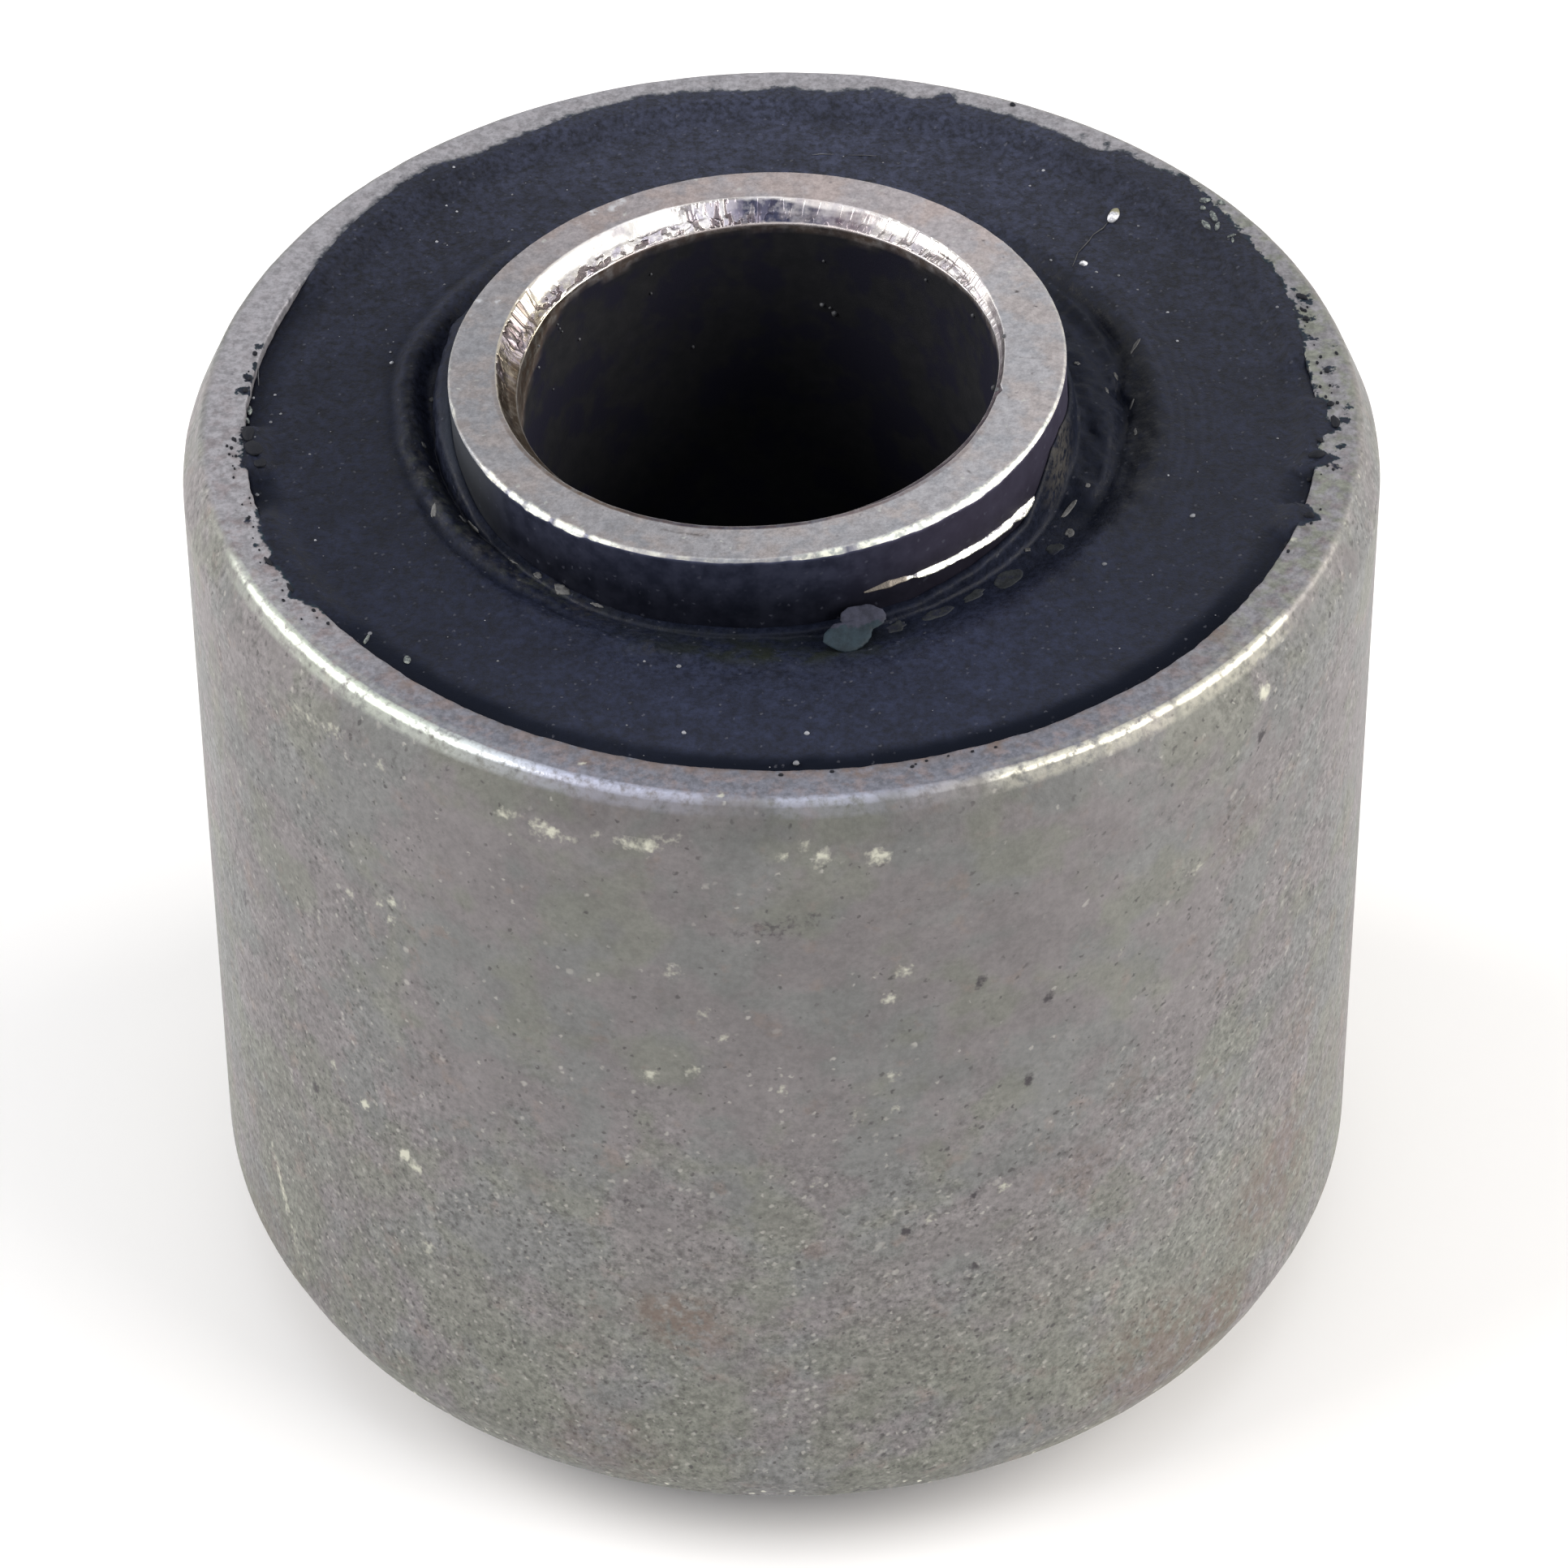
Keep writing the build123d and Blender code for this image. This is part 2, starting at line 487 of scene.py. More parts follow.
def sleeve_material():
    """Blasted steel in soft patches of mauve, neutral and olive grey, with painted light: paler at
    the far left, low on the right and to the right, and painted shade in the upper middle. Dark
    pits and pale glints grow denser downwards and to the sides. The cut end is smoother, with
    painted shade towards the front, worn edges painted bright as highlights, stains and a film of
    rubber."""
    s = Surface("sleeve_steel")
    x, front, height = s.axes()
    aside = s.math("ABSOLUTE", x)
    mauve, neutral = rgb(0.174, 0.163, 0.166), rgb(0.162, 0.164, 0.163)
    s.colour = s.mix(s.patch(3.6, 0.46, 0.58, shift=31), mauve, neutral)
    lead_in = s.times(s.step(height, 14.2, 15.0), s.patch(1.6, 0.40, 0.60, shift=39))
    olive = s.most(s.times(s.patch(3.8, 0.50, 0.62), 0.8), s.times(lead_in, 0.1))
    olive = s.most(olive, s.times(s.step(height, -1.0, -12.0), s.patch(4.0, 0.40, 0.56, shift=87)))
    s.coat(olive, rgb(0.162, 0.166, 0.146))
    s.coat(s.patch(1.3, 0.58, 0.72, shift=57), rgb(0.195, 0.163, 0.150), 0.6)
    lower, side = s.step(height, 8.0, -12.0), s.step(aside, 9.0, 18.0)
    busy = s.plus(s.times(lower, 0.50), s.times(side, 0.28))
    busy = s.times(s.plus(busy, 0.07), s.vary(2.2, 2, 0.6, 91, 0.5, 1.5))
    grain = s.noise(0.17, 3, 0.65, shift=7)
    amount = s.step(busy, 0.05, 0.45, 0.14, 0.44)
    speckle = s.plus(s.noise(0.30, 3, 0.7, shift=19), s.times(grain, 0.5))
    speckle = s.step(speckle, 0.42, 1.08, -1.0, 1.0)
    light = s.plus(1.0, s.times(speckle, amount))
    light = s.times(light, s.vary(1.6, 2, 0.5, 45, 0.93, 1.07))
    # Painted light and shade on the wall: darker in the upper middle, paler at the far left, low on
    # the right and to the right, where the lamps fall.
    upper_middle = s.times(s.step(height, 0.0, 7.0), s.step(aside, 13.0, 6.0))
    light = s.times(light, s.step(upper_middle, 0.0, 1.0, 1.0, 0.92))
    light = s.times(light, s.step(x, -17.0, -19.8, 1.0, 1.20))
    low_right = s.times(s.step(height, 2.0, -9.0), s.step(x, 5.0, 13.0))
    light = s.times(light, s.step(low_right, 0.0, 1.0, 1.0, 1.12))
    light = s.times(light, s.step(x, 7.0, 13.0, 1.0, 1.06))
    s.shade(light)
    dark = s.dots(0.36, s.times(busy, 1.5), shift=3)
    dark = s.most(dark, s.dots(0.27, s.times(busy, 1.3), shift=13))
    pale = s.dots(0.34, s.times(busy, 1.2), shift=11)
    pale = s.most(pale, s.dots(0.55, s.times(busy, 0.15), shift=15))
    s.coat(dark, rgb(0.055, 0.052, 0.053), 0.80)
    s.coat(pale, rgb(0.42, 0.41, 0.38), 0.55)
    # Painted glints: bright cream dots along the lower end's edge.
    foot = s.times(s.step(height, -15.0, -15.3), s.step(height, -15.95, -15.75))
    foot = s.times(foot, s.times(s.patch(1.6, 0.42, 0.56, shift=95), s.dots(0.42, 0.80, shift=97)))
    s.coat(foot, rgb(0.80, 0.79, 0.68))
    s.shade(s.step(height, 14.0, 15.0, 1.0, 0.88))
    cut = s.value("cut")
    # The cut end's face, with painted shade: darker and bluer towards the front.
    face = s.mix(s.step(front, -8.0, -17.0), rgb(0.252, 0.248, 0.268), rgb(0.138, 0.143, 0.172))
    blotch = s.times(s.patch(0.6, 0.44, 0.66, shift=17), s.step(front, 6.0, -8.0, 0.15, 0.8))
    face = s.mix(blotch, face, rgb(0.180, 0.152, 0.158))
    face = s.mix(s.times(s.dots(0.24, 0.30, shift=99), 0.6), face, rgb(0.10, 0.095, 0.11))
    right = s.times(s.step(x, 12.0, 17.0), s.patch(0.7, 0.42, 0.62, shift=63))
    face = s.mix(right, face, rgb(0.215, 0.225, 0.195))
    face = s.tint(face, s.step(x, 10.0, 16.0, 1.0, 0.80))
    face = s.tint(face, s.vary(0.22, 3, 0.65, 29, 0.72, 1.26))
    s.coat(cut, face)
    rust = s.patchy("stain", 0.45, 0.34, 0.60, 5)
    s.coat(rust, rgb(0.150, 0.108, 0.088), 0.7)
    # Worn edges, painted bright as highlights: greenish white to the left, lavender at the front
    # and cream to the right, where the lamps reflect.
    worn = s.patchy("worn", 0.30, 0.22, 0.62, 23)
    left = s.mix(s.step(x, -13.0, -6.0), rgb(0.55, 0.60, 0.52), rgb(0.46, 0.48, 0.60))
    bright = s.mix(s.step(x, 3.0, 8.0), left, rgb(0.62, 0.60, 0.50))
    s.coat(worn, bright)
    mark = s.plus(s.value("mark"), s.step(s.noise(0.22, 2, 0.6, shift=37), 0.25, 0.75, -0.30, 0.30))
    strength = s.math("ABSOLUTE", s.value("mark"))
    mark = s.times(mark, s.step(strength, 0.0, 0.15))
    s.coat(s.step(mark, 0.15, 1.1), rgb(0.50, 0.50, 0.42))
    s.coat(s.step(mark, -0.1, -0.8), rgb(0.05, 0.045, 0.05))
    moulded, _, sheen = s.moulded()
    ragged = s.step(s.noise(0.45, 4, 0.68, shift=67), 0.2, 0.8, -0.24, 0.24)
    soft = s.times(s.step(x, -7.0, -10.0), s.step(front, 3.0, 7.0))
    soft = s.most(soft, s.step(front, 12.0, 15.0, 0.0, 0.7))
    ragged = s.times(ragged, s.step(soft, 0.0, 1.0, 1.0, 0.65))
    ragged = s.times(ragged, s.step(front, -6.0, -2.0, 0.45, 1.0))
    reach = s.plus(s.value("film"), ragged)
    film = s.blend(soft, s.step(reach, -0.04, 0.06), s.step(reach, -0.16, 0.20))
    edge = s.times(s.step(reach, 0.04, 0.20, 1.0, 0.0), s.patch(0.6, 0.35, 0.55, shift=77))
    moulded = s.mix(s.times(edge, 0.8), moulded, rgb(0.008, 0.019, 0.027))
    s.coat(film, moulded)
    bare = s.minus(1.0, film)
    metal = s.times(bare, s.step(worn, 0.0, 1.0, 0.5, 1.0))
    s.link(metal, "Metallic")
    s.link(s.blend(film, 0.4, sheen), "Specular IOR Level")
    return s.finish(s.step(worn, 0.0, 1.0, 0.52, 0.33), grain, 0.014)


def tube_material():
    """Tube steel: a matte finely speckled end, shiny crinkled chamfers with painted highlights,
    painted shade in their folds and dull, shaded and brown parts, a smooth dark outside painted
    blue for the rubber it reflects and darker towards the rubber as painted shade, and a near-black
    bore."""
    s = Surface("tube_steel", metallic=0.95)
    grain = s.noise(0.11, 3, 0.7)
    x, y, z = s.axes()
    grey, mauve = rgb(0.315, 0.310, 0.328), rgb(0.335, 0.308, 0.308)
    s.colour = s.mix(s.patch(1.6, 0.42, 0.6, shift=9), grey, mauve)
    s.coat(s.patch(1.1, 0.5, 0.68, shift=27), rgb(0.290, 0.292, 0.314))
    s.shade(s.step(grain, 0.3, 0.7, 0.86, 1.14))
    s.shade(s.vary(0.32, 3, 0.6, 41, 0.86, 1.14))
    s.shade(s.step(x, -11.0, 7.0, 0.82, 1.10))
    s.shade(s.step(y, -9.5, -6.0, 0.93, 1.0))
    back = s.step(y, 3.0, 8.0)
    s.coat(back, s.tint(s.colour, rgb(1.07, 1.0, 0.98)))
    dot = s.dots(0.26, 0.10, shift=52)
    s.coat(dot, rgb(0.14, 0.13, 0.14), 0.6)
    fleck = s.dots(0.30, 0.14, shift=58)
    s.coat(fleck, rgb(0.56, 0.58, 0.54), 0.5)
    mark = s.times(s.value("mark"), s.step(s.noise(0.2, 2, 0.6, shift=37), 0.3, 0.6, 0.3, 1.3))
    s.coat(s.step(mark, 0.15, 1.2), rgb(0.56, 0.57, 0.60))
    s.coat(s.step(mark, -0.1, -0.8), rgb(0.09, 0.08, 0.08))
    # Painted highlights: the steel is painted bright where this value is high, golden to the left
    # of the mouth, where the lamps reflect.
    gloss_and_highlight = s.value("gloss_and_highlight")
    dull = s.patch(0.7, 0.50, 0.66, shift=2)
    bright = s.mix(dull, rgb(0.82, 0.79, 0.75), rgb(0.56, 0.53, 0.54))
    gold = s.times(s.step(x, -5.0, -7.5), s.step(y, 6.0, 3.0))
    bright = s.mix(gold, bright, rgb(0.74, 0.66, 0.48))
    # The outer edge's painted highlight, bright and broken by dull chips.
    rubbed_highlight, chipped = rgb(0.60, 0.61, 0.53), rgb(0.28, 0.30, 0.29)
    edge_colour = s.mix(s.patch(0.26, 0.40, 0.60, shift=83), rubbed_highlight, chipped)
    bright = s.mix(s.value("edge"), bright, edge_colour)
    s.coat(gloss_and_highlight, bright)
    brown = s.patchy("brown", 0.35, 0.3, 0.6, 21)
    s.coat(brown, rgb(0.16, 0.105, 0.075))
    patchy = s.vary(0.4, 3, 0.6, 33, 0.72, 1.25)
    shade = s.times(s.value("shade"), patchy, clamp=True)
    shaded = s.mix(s.step(x, -6.5, -3.0), rgb(0.070, 0.052, 0.036), rgb(0.034, 0.036, 0.062))
    shaded = s.mix(s.step(x, 1.0, 2.4), shaded, rgb(0.105, 0.080, 0.098))
    s.coat(shade, shaded)
    crumple = s.value("crumple")
    flat_place = s.place
    strokes = s.step(x, -4.5, -2.5)
    s.around_mouth(2.6)
    along_lilac, along = s.patch(0.60, 0.44, 0.60, shift=71), s.lines(0.75, 0.070, shift=61)
    streaks = s.noise(0.55, 3, 0.6, shift=13)
    s.place = flat_place
    s.around_mouth(0.95)
    across_lilac, across = s.patch(0.34, 0.44, 0.60, shift=73), s.lines(0.42, 0.075, shift=67)
    s.place = flat_place
    lilac = s.times(crumple, s.blend(strokes, along_lilac, across_lilac))
    s.coat(lilac, rgb(0.30, 0.27, 0.33), 0.75)
    # Painted shade in the folds between the crinkles.
    crease_shade = s.times(crumple, s.blend(strokes, along, across))
    s.coat(crease_shade, rgb(0.070, 0.048, 0.050), 0.85)
    wall = s.value("wall")
    # The outside: dark steel painted blue and violet as a painted reflection of the dark rubber,
    # paler grey to the left, and darker towards the rubber as painted shade.
    dark_blue, pale_blue = rgb(0.040, 0.046, 0.078), rgb(0.082, 0.090, 0.142)
    wall_reflection = s.mix(s.patch(0.7, 0.30, 0.70, shift=4), dark_blue, pale_blue)
    violet = s.step(x, 0.0, 6.0)
    wall_reflection = s.mix(s.times(violet, 0.6), wall_reflection, rgb(0.086, 0.070, 0.104))
    wall_reflection = s.mix(s.step(x, -8.6, -10.2), wall_reflection, rgb(0.120, 0.130, 0.150))
    wall_reflection = s.tint(wall_reflection, s.step(z, 15.8, 17.6, 0.45, 1.15))
    fleck = s.times(wall, s.dots(0.28, 0.34, shift=88))
    wall_reflection = s.mix(s.times(fleck, 0.6), wall_reflection, rgb(0.19, 0.20, 0.26))
    s.coat(wall, wall_reflection)
    # Below a band of bare steel the bore is coloured near black.
    scale = s.value("scale")
    near_black, dark_grey = rgb(0.0105, 0.0115, 0.0140), rgb(0.026, 0.026, 0.029)
    black = s.mix(s.noise(0.6, 3, 0.6, shift=14), near_black, dark_grey)
    black = s.mix(s.patch(2.0, 0.45, 0.6, shift=24), black, rgb(0.014, 0.014, 0.023))
    s.coat(scale, black)
    bare = s.minus(1.0, scale)
    s.link(s.times(bare, 0.95), "Metallic")
    s.link(s.step(bare, 0.0, 1.0, 0.10, 0.5), "Specular IOR Level")
    matte, glossy = s.step(grain, 0.3, 0.7, 0.50, 0.40), s.step(streaks, 0.3, 0.7, 0.16, 0.34)
    roughness = s.blend(gloss_and_highlight, matte, glossy)
    roughness = s.blend(s.times(s.value("edge"), 0.8), roughness, 0.55)
    roughness = s.blend(s.most(wall, scale), roughness, 0.5)
    depth = s.blend(gloss_and_highlight, s.times(grain, 0.5), streaks)
    folds = s.minus(s.times(crumple, streaks), crease_shade)
    depth = s.plus(s.blend(wall, depth, 0.5), s.times(folds, 3.5))
    return s.finish(roughness, depth, 0.022)


def rubber_material():
    """Moulded black rubber with a blue cast, painted paler towards the back and darker to the left
    and
    right as painted light: satin, with dust, bloom and olive dirt, and painted near-black shade in
    the folds, the groove and along the rim."""
    s = Surface("rubber_black")
    s.colour, grain, sheen = s.moulded()
    reach = s.reach(s.place)
    rings = s.math("SINE", s.times(reach, 18.0))
    ringed = s.times(s.value("ringed"), s.step(rings, -0.4, 1.0))
    s.coat(ringed, rgb(0.030, 0.033, 0.050), 0.28)
    dust = s.patchy("dusty", 0.35, 0.38, 0.66, 8)
    grey, greenish = rgb(0.040, 0.039, 0.041), rgb(0.029, 0.033, 0.026)
    dirt = s.mix(s.patch(0.9, 0.4, 0.6, shift=12), grey, greenish)
    s.coat(dust, dirt)
    # Painted shade: this value darkens the groove by the tube on the right to navy black.
    olive = s.patchy("olive", 0.8, 0.30, 0.55, 26, clamp=True)
    s.coat(olive, rgb(0.0062, 0.0075, 0.0110))
    bloom = s.patchy("bloom", 0.8, 0.25, 0.55, 76)
    s.coat(bloom, rgb(0.036, 0.043, 0.060))
    chips = s.times(s.value("dusty"), s.dots(0.26, 0.40, shift=78))
    s.coat(chips, rgb(0.105, 0.105, 0.100), 0.7)
    brim = s.patchy("brim", 0.9, 0.30, 0.60, 66)
    s.coat(brim, rgb(0.0105, 0.0130, 0.0085))
    smear = s.patchy("smear", 0.3, 0.36, 0.58, 34, clamp=True)
    s.coat(smear, rgb(0.120, 0.112, 0.098))
    # Painted shade: near black in the groove, the folds, the slots and torn gaps, and along the
    # front rim.
    deep = s.value("deep")
    s.coat(deep, rgb(0.0036, 0.0050, 0.0100))
    speck = s.dots(0.22, 0.16, shift=44)
    s.coat(speck, rgb(0.12, 0.125, 0.15), 0.34)
    s.link(s.blend(deep, sheen, 0.04), "Specular IOR Level")
    return s.finish(s.step(grain, 0.3, 0.7, 0.40, 0.60), grain, 0.026)


def flake_material():
    """Thin grey skin of rubber, lilac near the tube and teal outside it, a little paler than the
    ring it peels from."""
    s = Surface("rubber_flake", specular=0.16)
    x, _, _ = s.axes()
    ragged = s.step(s.noise(0.5, 2, 0.6, shift=2), 0.2, 0.8, -0.15, 0.15)
    right = s.step(x, 3.3, 3.6)
    reach = s.reach(s.place)
    teal = s.step(s.plus(reach, ragged), 10.95, 11.05)
    s.colour = s.mix(teal, rgb(0.036, 0.038, 0.056), rgb(0.018, 0.029, 0.038))
    s.coat(right, rgb(0.024, 0.027, 0.030))
    cloud = s.noise(0.35, 3, 0.65, shift=3)
    s.shade(s.step(cloud, 0.25, 0.75, 0.60, 1.25))
    s.coat(s.times(right, s.patch(0.5, 0.50, 0.62, shift=18)), rgb(0.015, 0.017, 0.027))
    return s.finish(s.step(cloud, 0.3, 0.7, 0.5, 0.7), cloud, 0.03)


def bits_material():
    """Grey dusty bits of rubber skin in the folds."""
    s = Surface("rubber_bits", specular=0.25)
    cloud = s.noise(0.25, 3, 0.65, shift=9)
    s.colour = s.mix(s.step(cloud, 0.3, 0.7), rgb(0.035, 0.035, 0.035), rgb(0.130, 0.130, 0.130))
    return s.finish(s.step(cloud, 0.3, 0.7, 0.42, 0.6), cloud, 0.03)


def crumb_material():
    """Crumbs of moulding rubber: black and dull."""
    s = Surface("rubber_crumb", specular=0.10)
    cloud = s.noise(0.3, 3, 0.6, shift=6)
    s.colour = s.mix(cloud, rgb(0.006, 0.007, 0.010), rgb(0.018, 0.019, 0.024))
    return s.finish(s.step(cloud, 0.3, 0.7, 0.55, 0.75), cloud, 0.03)


def bead_material():
    """Worn bright step at the tube's foot, its brightness partly a painted highlight, dull and
    brown at its ends.
    """
    s = Surface("bead_steel", metallic=0.9)
    x, _, _ = s.axes()
    tail = s.most(s.step(x, 4.4, 3.7), s.step(x, 8.6, 8.9))
    ragged = s.noise(0.25, 3, 0.6, shift=5)
    tail = s.step(s.plus(tail, s.step(ragged, 0.3, 0.7, -0.2, 0.2)), 0.2, 0.8)
    bright = s.mix(s.patch(0.24, 0.44, 0.60, shift=9), rgb(0.80, 0.80, 0.68), rgb(0.26, 0.25, 0.27))
    s.colour = s.mix(tail, bright, rgb(0.13, 0.115, 0.10))
    return s.finish(s.step(tail, 0.0, 1.0, 0.28, 0.5), ragged, 0.05)


def dust_material(name, strength):
    """Chips of dust and lint, mostly dim and a few pale, at full strength."""
    s = Surface(name, specular=0.4)
    cloud = s.noise(0.2, 2, 0.6)
    tints = (0.12, 0.125, 0.14), (0.32, 0.33, 0.36)
    dim, pale = ([strength * part for part in tint] for tint in tints)
    s.colour = s.mix(s.step(s.noise(1.4, 1, 0.5, shift=3), 0.46, 0.66), rgb(*dim), rgb(*pale))
    return s.finish(s.step(cloud, 0.3, 0.7, 0.5, 0.8), cloud, 0.02)


def shaving_material():
    """A white plastic shaving, olive at its far end."""
    s = Surface("white_shaving", specular=0.5)
    x, y, _ = SHAVING_PLACE
    away = s.vector("SUBTRACT", s.place, (x, y, 0))
    along = s.add("ShaderNodeSeparateXYZ", {0: away}).outputs["Y"]
    cloud = s.noise(0.25, 2, 0.6, shift=5)
    along = s.plus(along, s.step(cloud, 0.3, 0.7, -0.10, 0.10))
    white = s.mix(s.patch(0.22, 0.46, 0.62, shift=4), rgb(0.86, 0.87, 0.92), rgb(0.36, 0.37, 0.40))
    s.colour = s.mix(s.step(along, -0.05, 0.15), white, rgb(0.20, 0.19, 0.12))
    return s.finish(0.45, cloud, 0.02)


def lint_material():
    """Pale greenish grey scraps stuck on the film's edge."""
    s = Surface("pale_lint", specular=0.3)
    cloud = s.noise(0.14, 3, 0.65, shift=8)
    s.colour = s.mix(s.step(cloud, 0.38, 0.70), rgb(0.030, 0.036, 0.042), rgb(0.26, 0.29, 0.27))
    return s.finish(s.step(cloud, 0.3, 0.7, 0.5, 0.7), cloud, 0.03)


# Where the white shaving lies.
SHAVING_PLACE = (11.49, 11.05, 15.75)

SLEEVE_STEEL = sleeve_material()
TUBE_STEEL = tube_material()
RUBBER = rubber_material()
FLAKE = flake_material()
CRUMB = crumb_material()
BEAD_STEEL = bead_material()
DUST = dust_material("pale_dust", 1.0)
FAINT_DUST = dust_material("bore_dust", 0.45)
HAIR = dust_material("dark_hair", 0.12)
SHAVING = shaving_material()
LINT_SCRAPS = lint_material()
BITS = bits_material()

# ---------------------------------------------------------------- outer sleeve

# Where the rubber's skin ends on the sleeve's flat end: angle, radius. Where the radius is less
# than the sleeve's inner one there is none.
FILM_EDGE = (
    (1, 18.35), (2.5, 17.9), (8, 17.85), (12, 18.05), (20, 18.4), (30, 18.6), (36, 18.75),
    (42.5, 19.1), (46, 18.75), (50, 18.85), (53, 18.3), (62, 18.45), (70, 18.5), (71.5, 19.0),
    (73, 18.5), (75, 18.3), (79, 18.55), (85, 18.15), (90, 18.4), (93, 18.2), (100, 18.45),
    (106, 18.5), (113, 18.35), (121, 18.05), (127, 18.05), (131, 18.5), (137, 18.4), (144, 18.25),
    (150, 18.05), (158, 17.8), (165, 17.65), (180, 17.7), (181.5, 18.0), (188, 18.0), (190, 17.6),
    (193, 17.75), (196, 17.9), (199, 18.1), (203, 18.1), (204, 18.45), (205, 18.15), (209, 18.2),
    (210, 18.5), (211, 18.25), (213, 17.95), (218, 17.8), (235, 17.75), (252, 17.8), (270, 17.7),
    (300, 17.7), (330, 17.6), (339, 17.7), (341, 18.0), (342, 18.55), (343.5, 18.2), (344.5, 17.75),
    (350, 17.8), (351.5, 18.3), (352.2, 18.65), (353.3, 17.95), (355.5, 18.1), (357, 18.6),
    (358.5, 18.2),
)
LOW_FILM_EDGE = ((0, 17.7), (70, 17.9), (130, 18.3), (190, 18.0), (230, 18.4), (300, 17.8))

# Spots of the same skin beyond its edge: angle, radius, size.
FILM_SPOTS = (
    (0.5, 18.9, 0.1), (3.8, 18.5, 0.12), (6.5, 18.5, 0.22), (9.0, 18.95, 0.12), (10.5, 18.8, 0.16),
    (12.2, 18.35, 0.12), (15.5, 18.45, 0.22), (18.6, 18.75, 0.24), (20.5, 18.6, 0.16),
    (55.3, 18.55, 0.12), (52.4, 18.7, 0.12), (167.8, 17.95, 0.2), (171.0, 17.9, 0.12),
    (173.2, 17.95, 0.2), (175.6, 17.95, 0.24), (197.0, 18.3, 0.12), (201.0, 18.4, 0.1),
    (207.0, 18.5, 0.12), (341.0, 17.9, 0.2), (345.5, 17.9, 0.12), (350.8, 18.6, 0.14),
    (354.0, 18.6, 0.2), (356.2, 18.35, 0.16), (358.6, 18.75, 0.16),
)

# Pale marks on the sleeve's wall: angle, height, size, strength. Dark ones are below zero.
WALL_MARKS = (
    (228.8, 7.8, 0.2, 0.8), (230.5, 8.3, 0.26, 0.9), (231.9, 8.45, 0.16, 0.8),
    (229.8, 7.6, 0.16, 0.6), (232.1, 8.05, 0.16, 0.8), (230.2, 7.45, 0.18, 0.7),
    (224.7, 7.4, 0.25, 0.5), (236.8, 8.3, 0.2, 0.5), (230.0, 14.05, 0.3, 0.5),
    (279.7, 7.8, 0.34, 0.9), (281.0, 9.0, 0.34, 0.7), (278.2, 8.8, 0.22, 0.5),
    (259.7, 9.0, 0.45, 0.4), (262.6, 7.3, 0.4, 0.4), (257.2, 4.3, 0.34, 0.7),
    (261.5, 4.7, 0.34, 0.6), (269.6, 4.0, 0.2, 0.7), (280.0, 4.4, 0.26, 0.7),
    (280.4, 3.0, 0.26, 0.6), (276.4, 2.6, 0.3, 0.5), (264.1, 6.3, 0.22, 0.5),
    (219.8, 5.0, 0.25, 0.5), (212.0, 11.0, 0.3, 0.4), (205.3, 7.4, 0.3, 0.5),
    (232.7, -7.2, 0.35, 0.6), (230.1, -3.3, 0.22, 0.5), (272.7, -0.3, 0.2, 0.8),
    (291.0, -1.8, 0.3, 0.7), (283.6, -2.4, 0.3, 0.6), (303.0, 6.9, 0.2, 0.8),
    (312.0, 9.0, 0.3, 0.5), (321.0, 14.5, 0.4, 1.0), (320.5, 12.8, 0.22, -1.2),
    (332.0, 3.0, 0.3, -0.7), (288.3, 7.8, 0.25, -0.7), (291.3, 8.4, 0.2, -0.8),
    (295.2, 6.3, 0.25, -0.7), (288.0, -1.7, 0.2, -0.9), (281.3, -2.9, 0.22, -0.9),
    (288.0, -5.2, 0.22, -0.9), (293.3, 2.9, 0.22, -0.8), (254.6, -1.8, 0.22, -0.8),
    (204.4, 1.9, 0.3, -0.8), (217.3, -3.3, 0.3, -0.7), (272.5, 11.5, 0.34, -0.4),
    (270.8, 11.5, 0.18, -0.5), (275.8, 11.0, 0.26, -0.4), (273.7, 6.1, 0.18, -0.8),
    (269.8, 14.25, 0.2, 0.8), (271.7, 14.6, 0.26, 0.6), (273.4, 14.2, 0.32, 0.9),
    (278.1, 14.15, 0.26, 1.0), (279.1, 14.0, 0.26, 1.0),
)

# Scratches and scuffed streaks: first angle and height, last angle and height, width, strength.
WALL_SCRATCHES = (
    (220.5, -1.4, 225.0, -2.0, 0.14, 0.65), (225.0, -2.0, 228.2, -3.1, 0.16, 0.85),
    (228.2, -3.1, 230.2, -3.3, 0.16, 0.6), (230.2, -3.3, 233.9, -4.2, 0.16, 0.85),
    (207.0, -8.8, 212.6, -13.7, 0.16, 0.85), (203.2, -6.1, 207.0, -8.8, 0.26, 0.35),
    (226.9, 0.6, 228.4, 0.3, 0.26, 0.4), (240.0, 13.7, 243.4, 14.3, 0.26, 0.45),
    (243.4, 14.3, 248.5, 14.15, 0.24, 0.65), (248.5, 14.1, 250.5, 13.95, 0.2, 0.45),
    (252.8, 14.3, 257.5, 14.2, 0.18, 0.7), (258.0, 14.3, 261.0, 14.8, 0.3, 0.35),
    (217.0, 13.8, 224.5, 14.3, 0.25, 0.4), (245.0, -14.4, 292.0, -14.3, 0.16, 0.5),
    (264.0, 10.9, 271.0, 11.2, 0.4, -0.35),
)

# Rust and brown stains: angle, height, size, strength.
STAINS = (
    (259.6, -7.0, 2.0, 1.0), (263.0, -7.3, 1.2, 0.6), (269.0, -9.0, 0.8, 0.5),
    (275.2, -9.6, 0.9, 0.5), (299.0, -2.0, 1.6, 0.4), (304.5, 0.9, 1.3, 0.4),
    (317.5, 9.9, 1.7, 0.3), (331.0, -3.0, 2.6, 0.35), (327.0, -9.0, 4.0, 0.75),
    (309.0, -13.0, 4.0, 0.8), (318.0, -13.6, 3.0, 0.95), (342.0, -8.0, 4.0, 0.3),
    (252.0, -13.8, 3.0, 0.3), (205.0, -13.9, 3.5, 0.4),
)

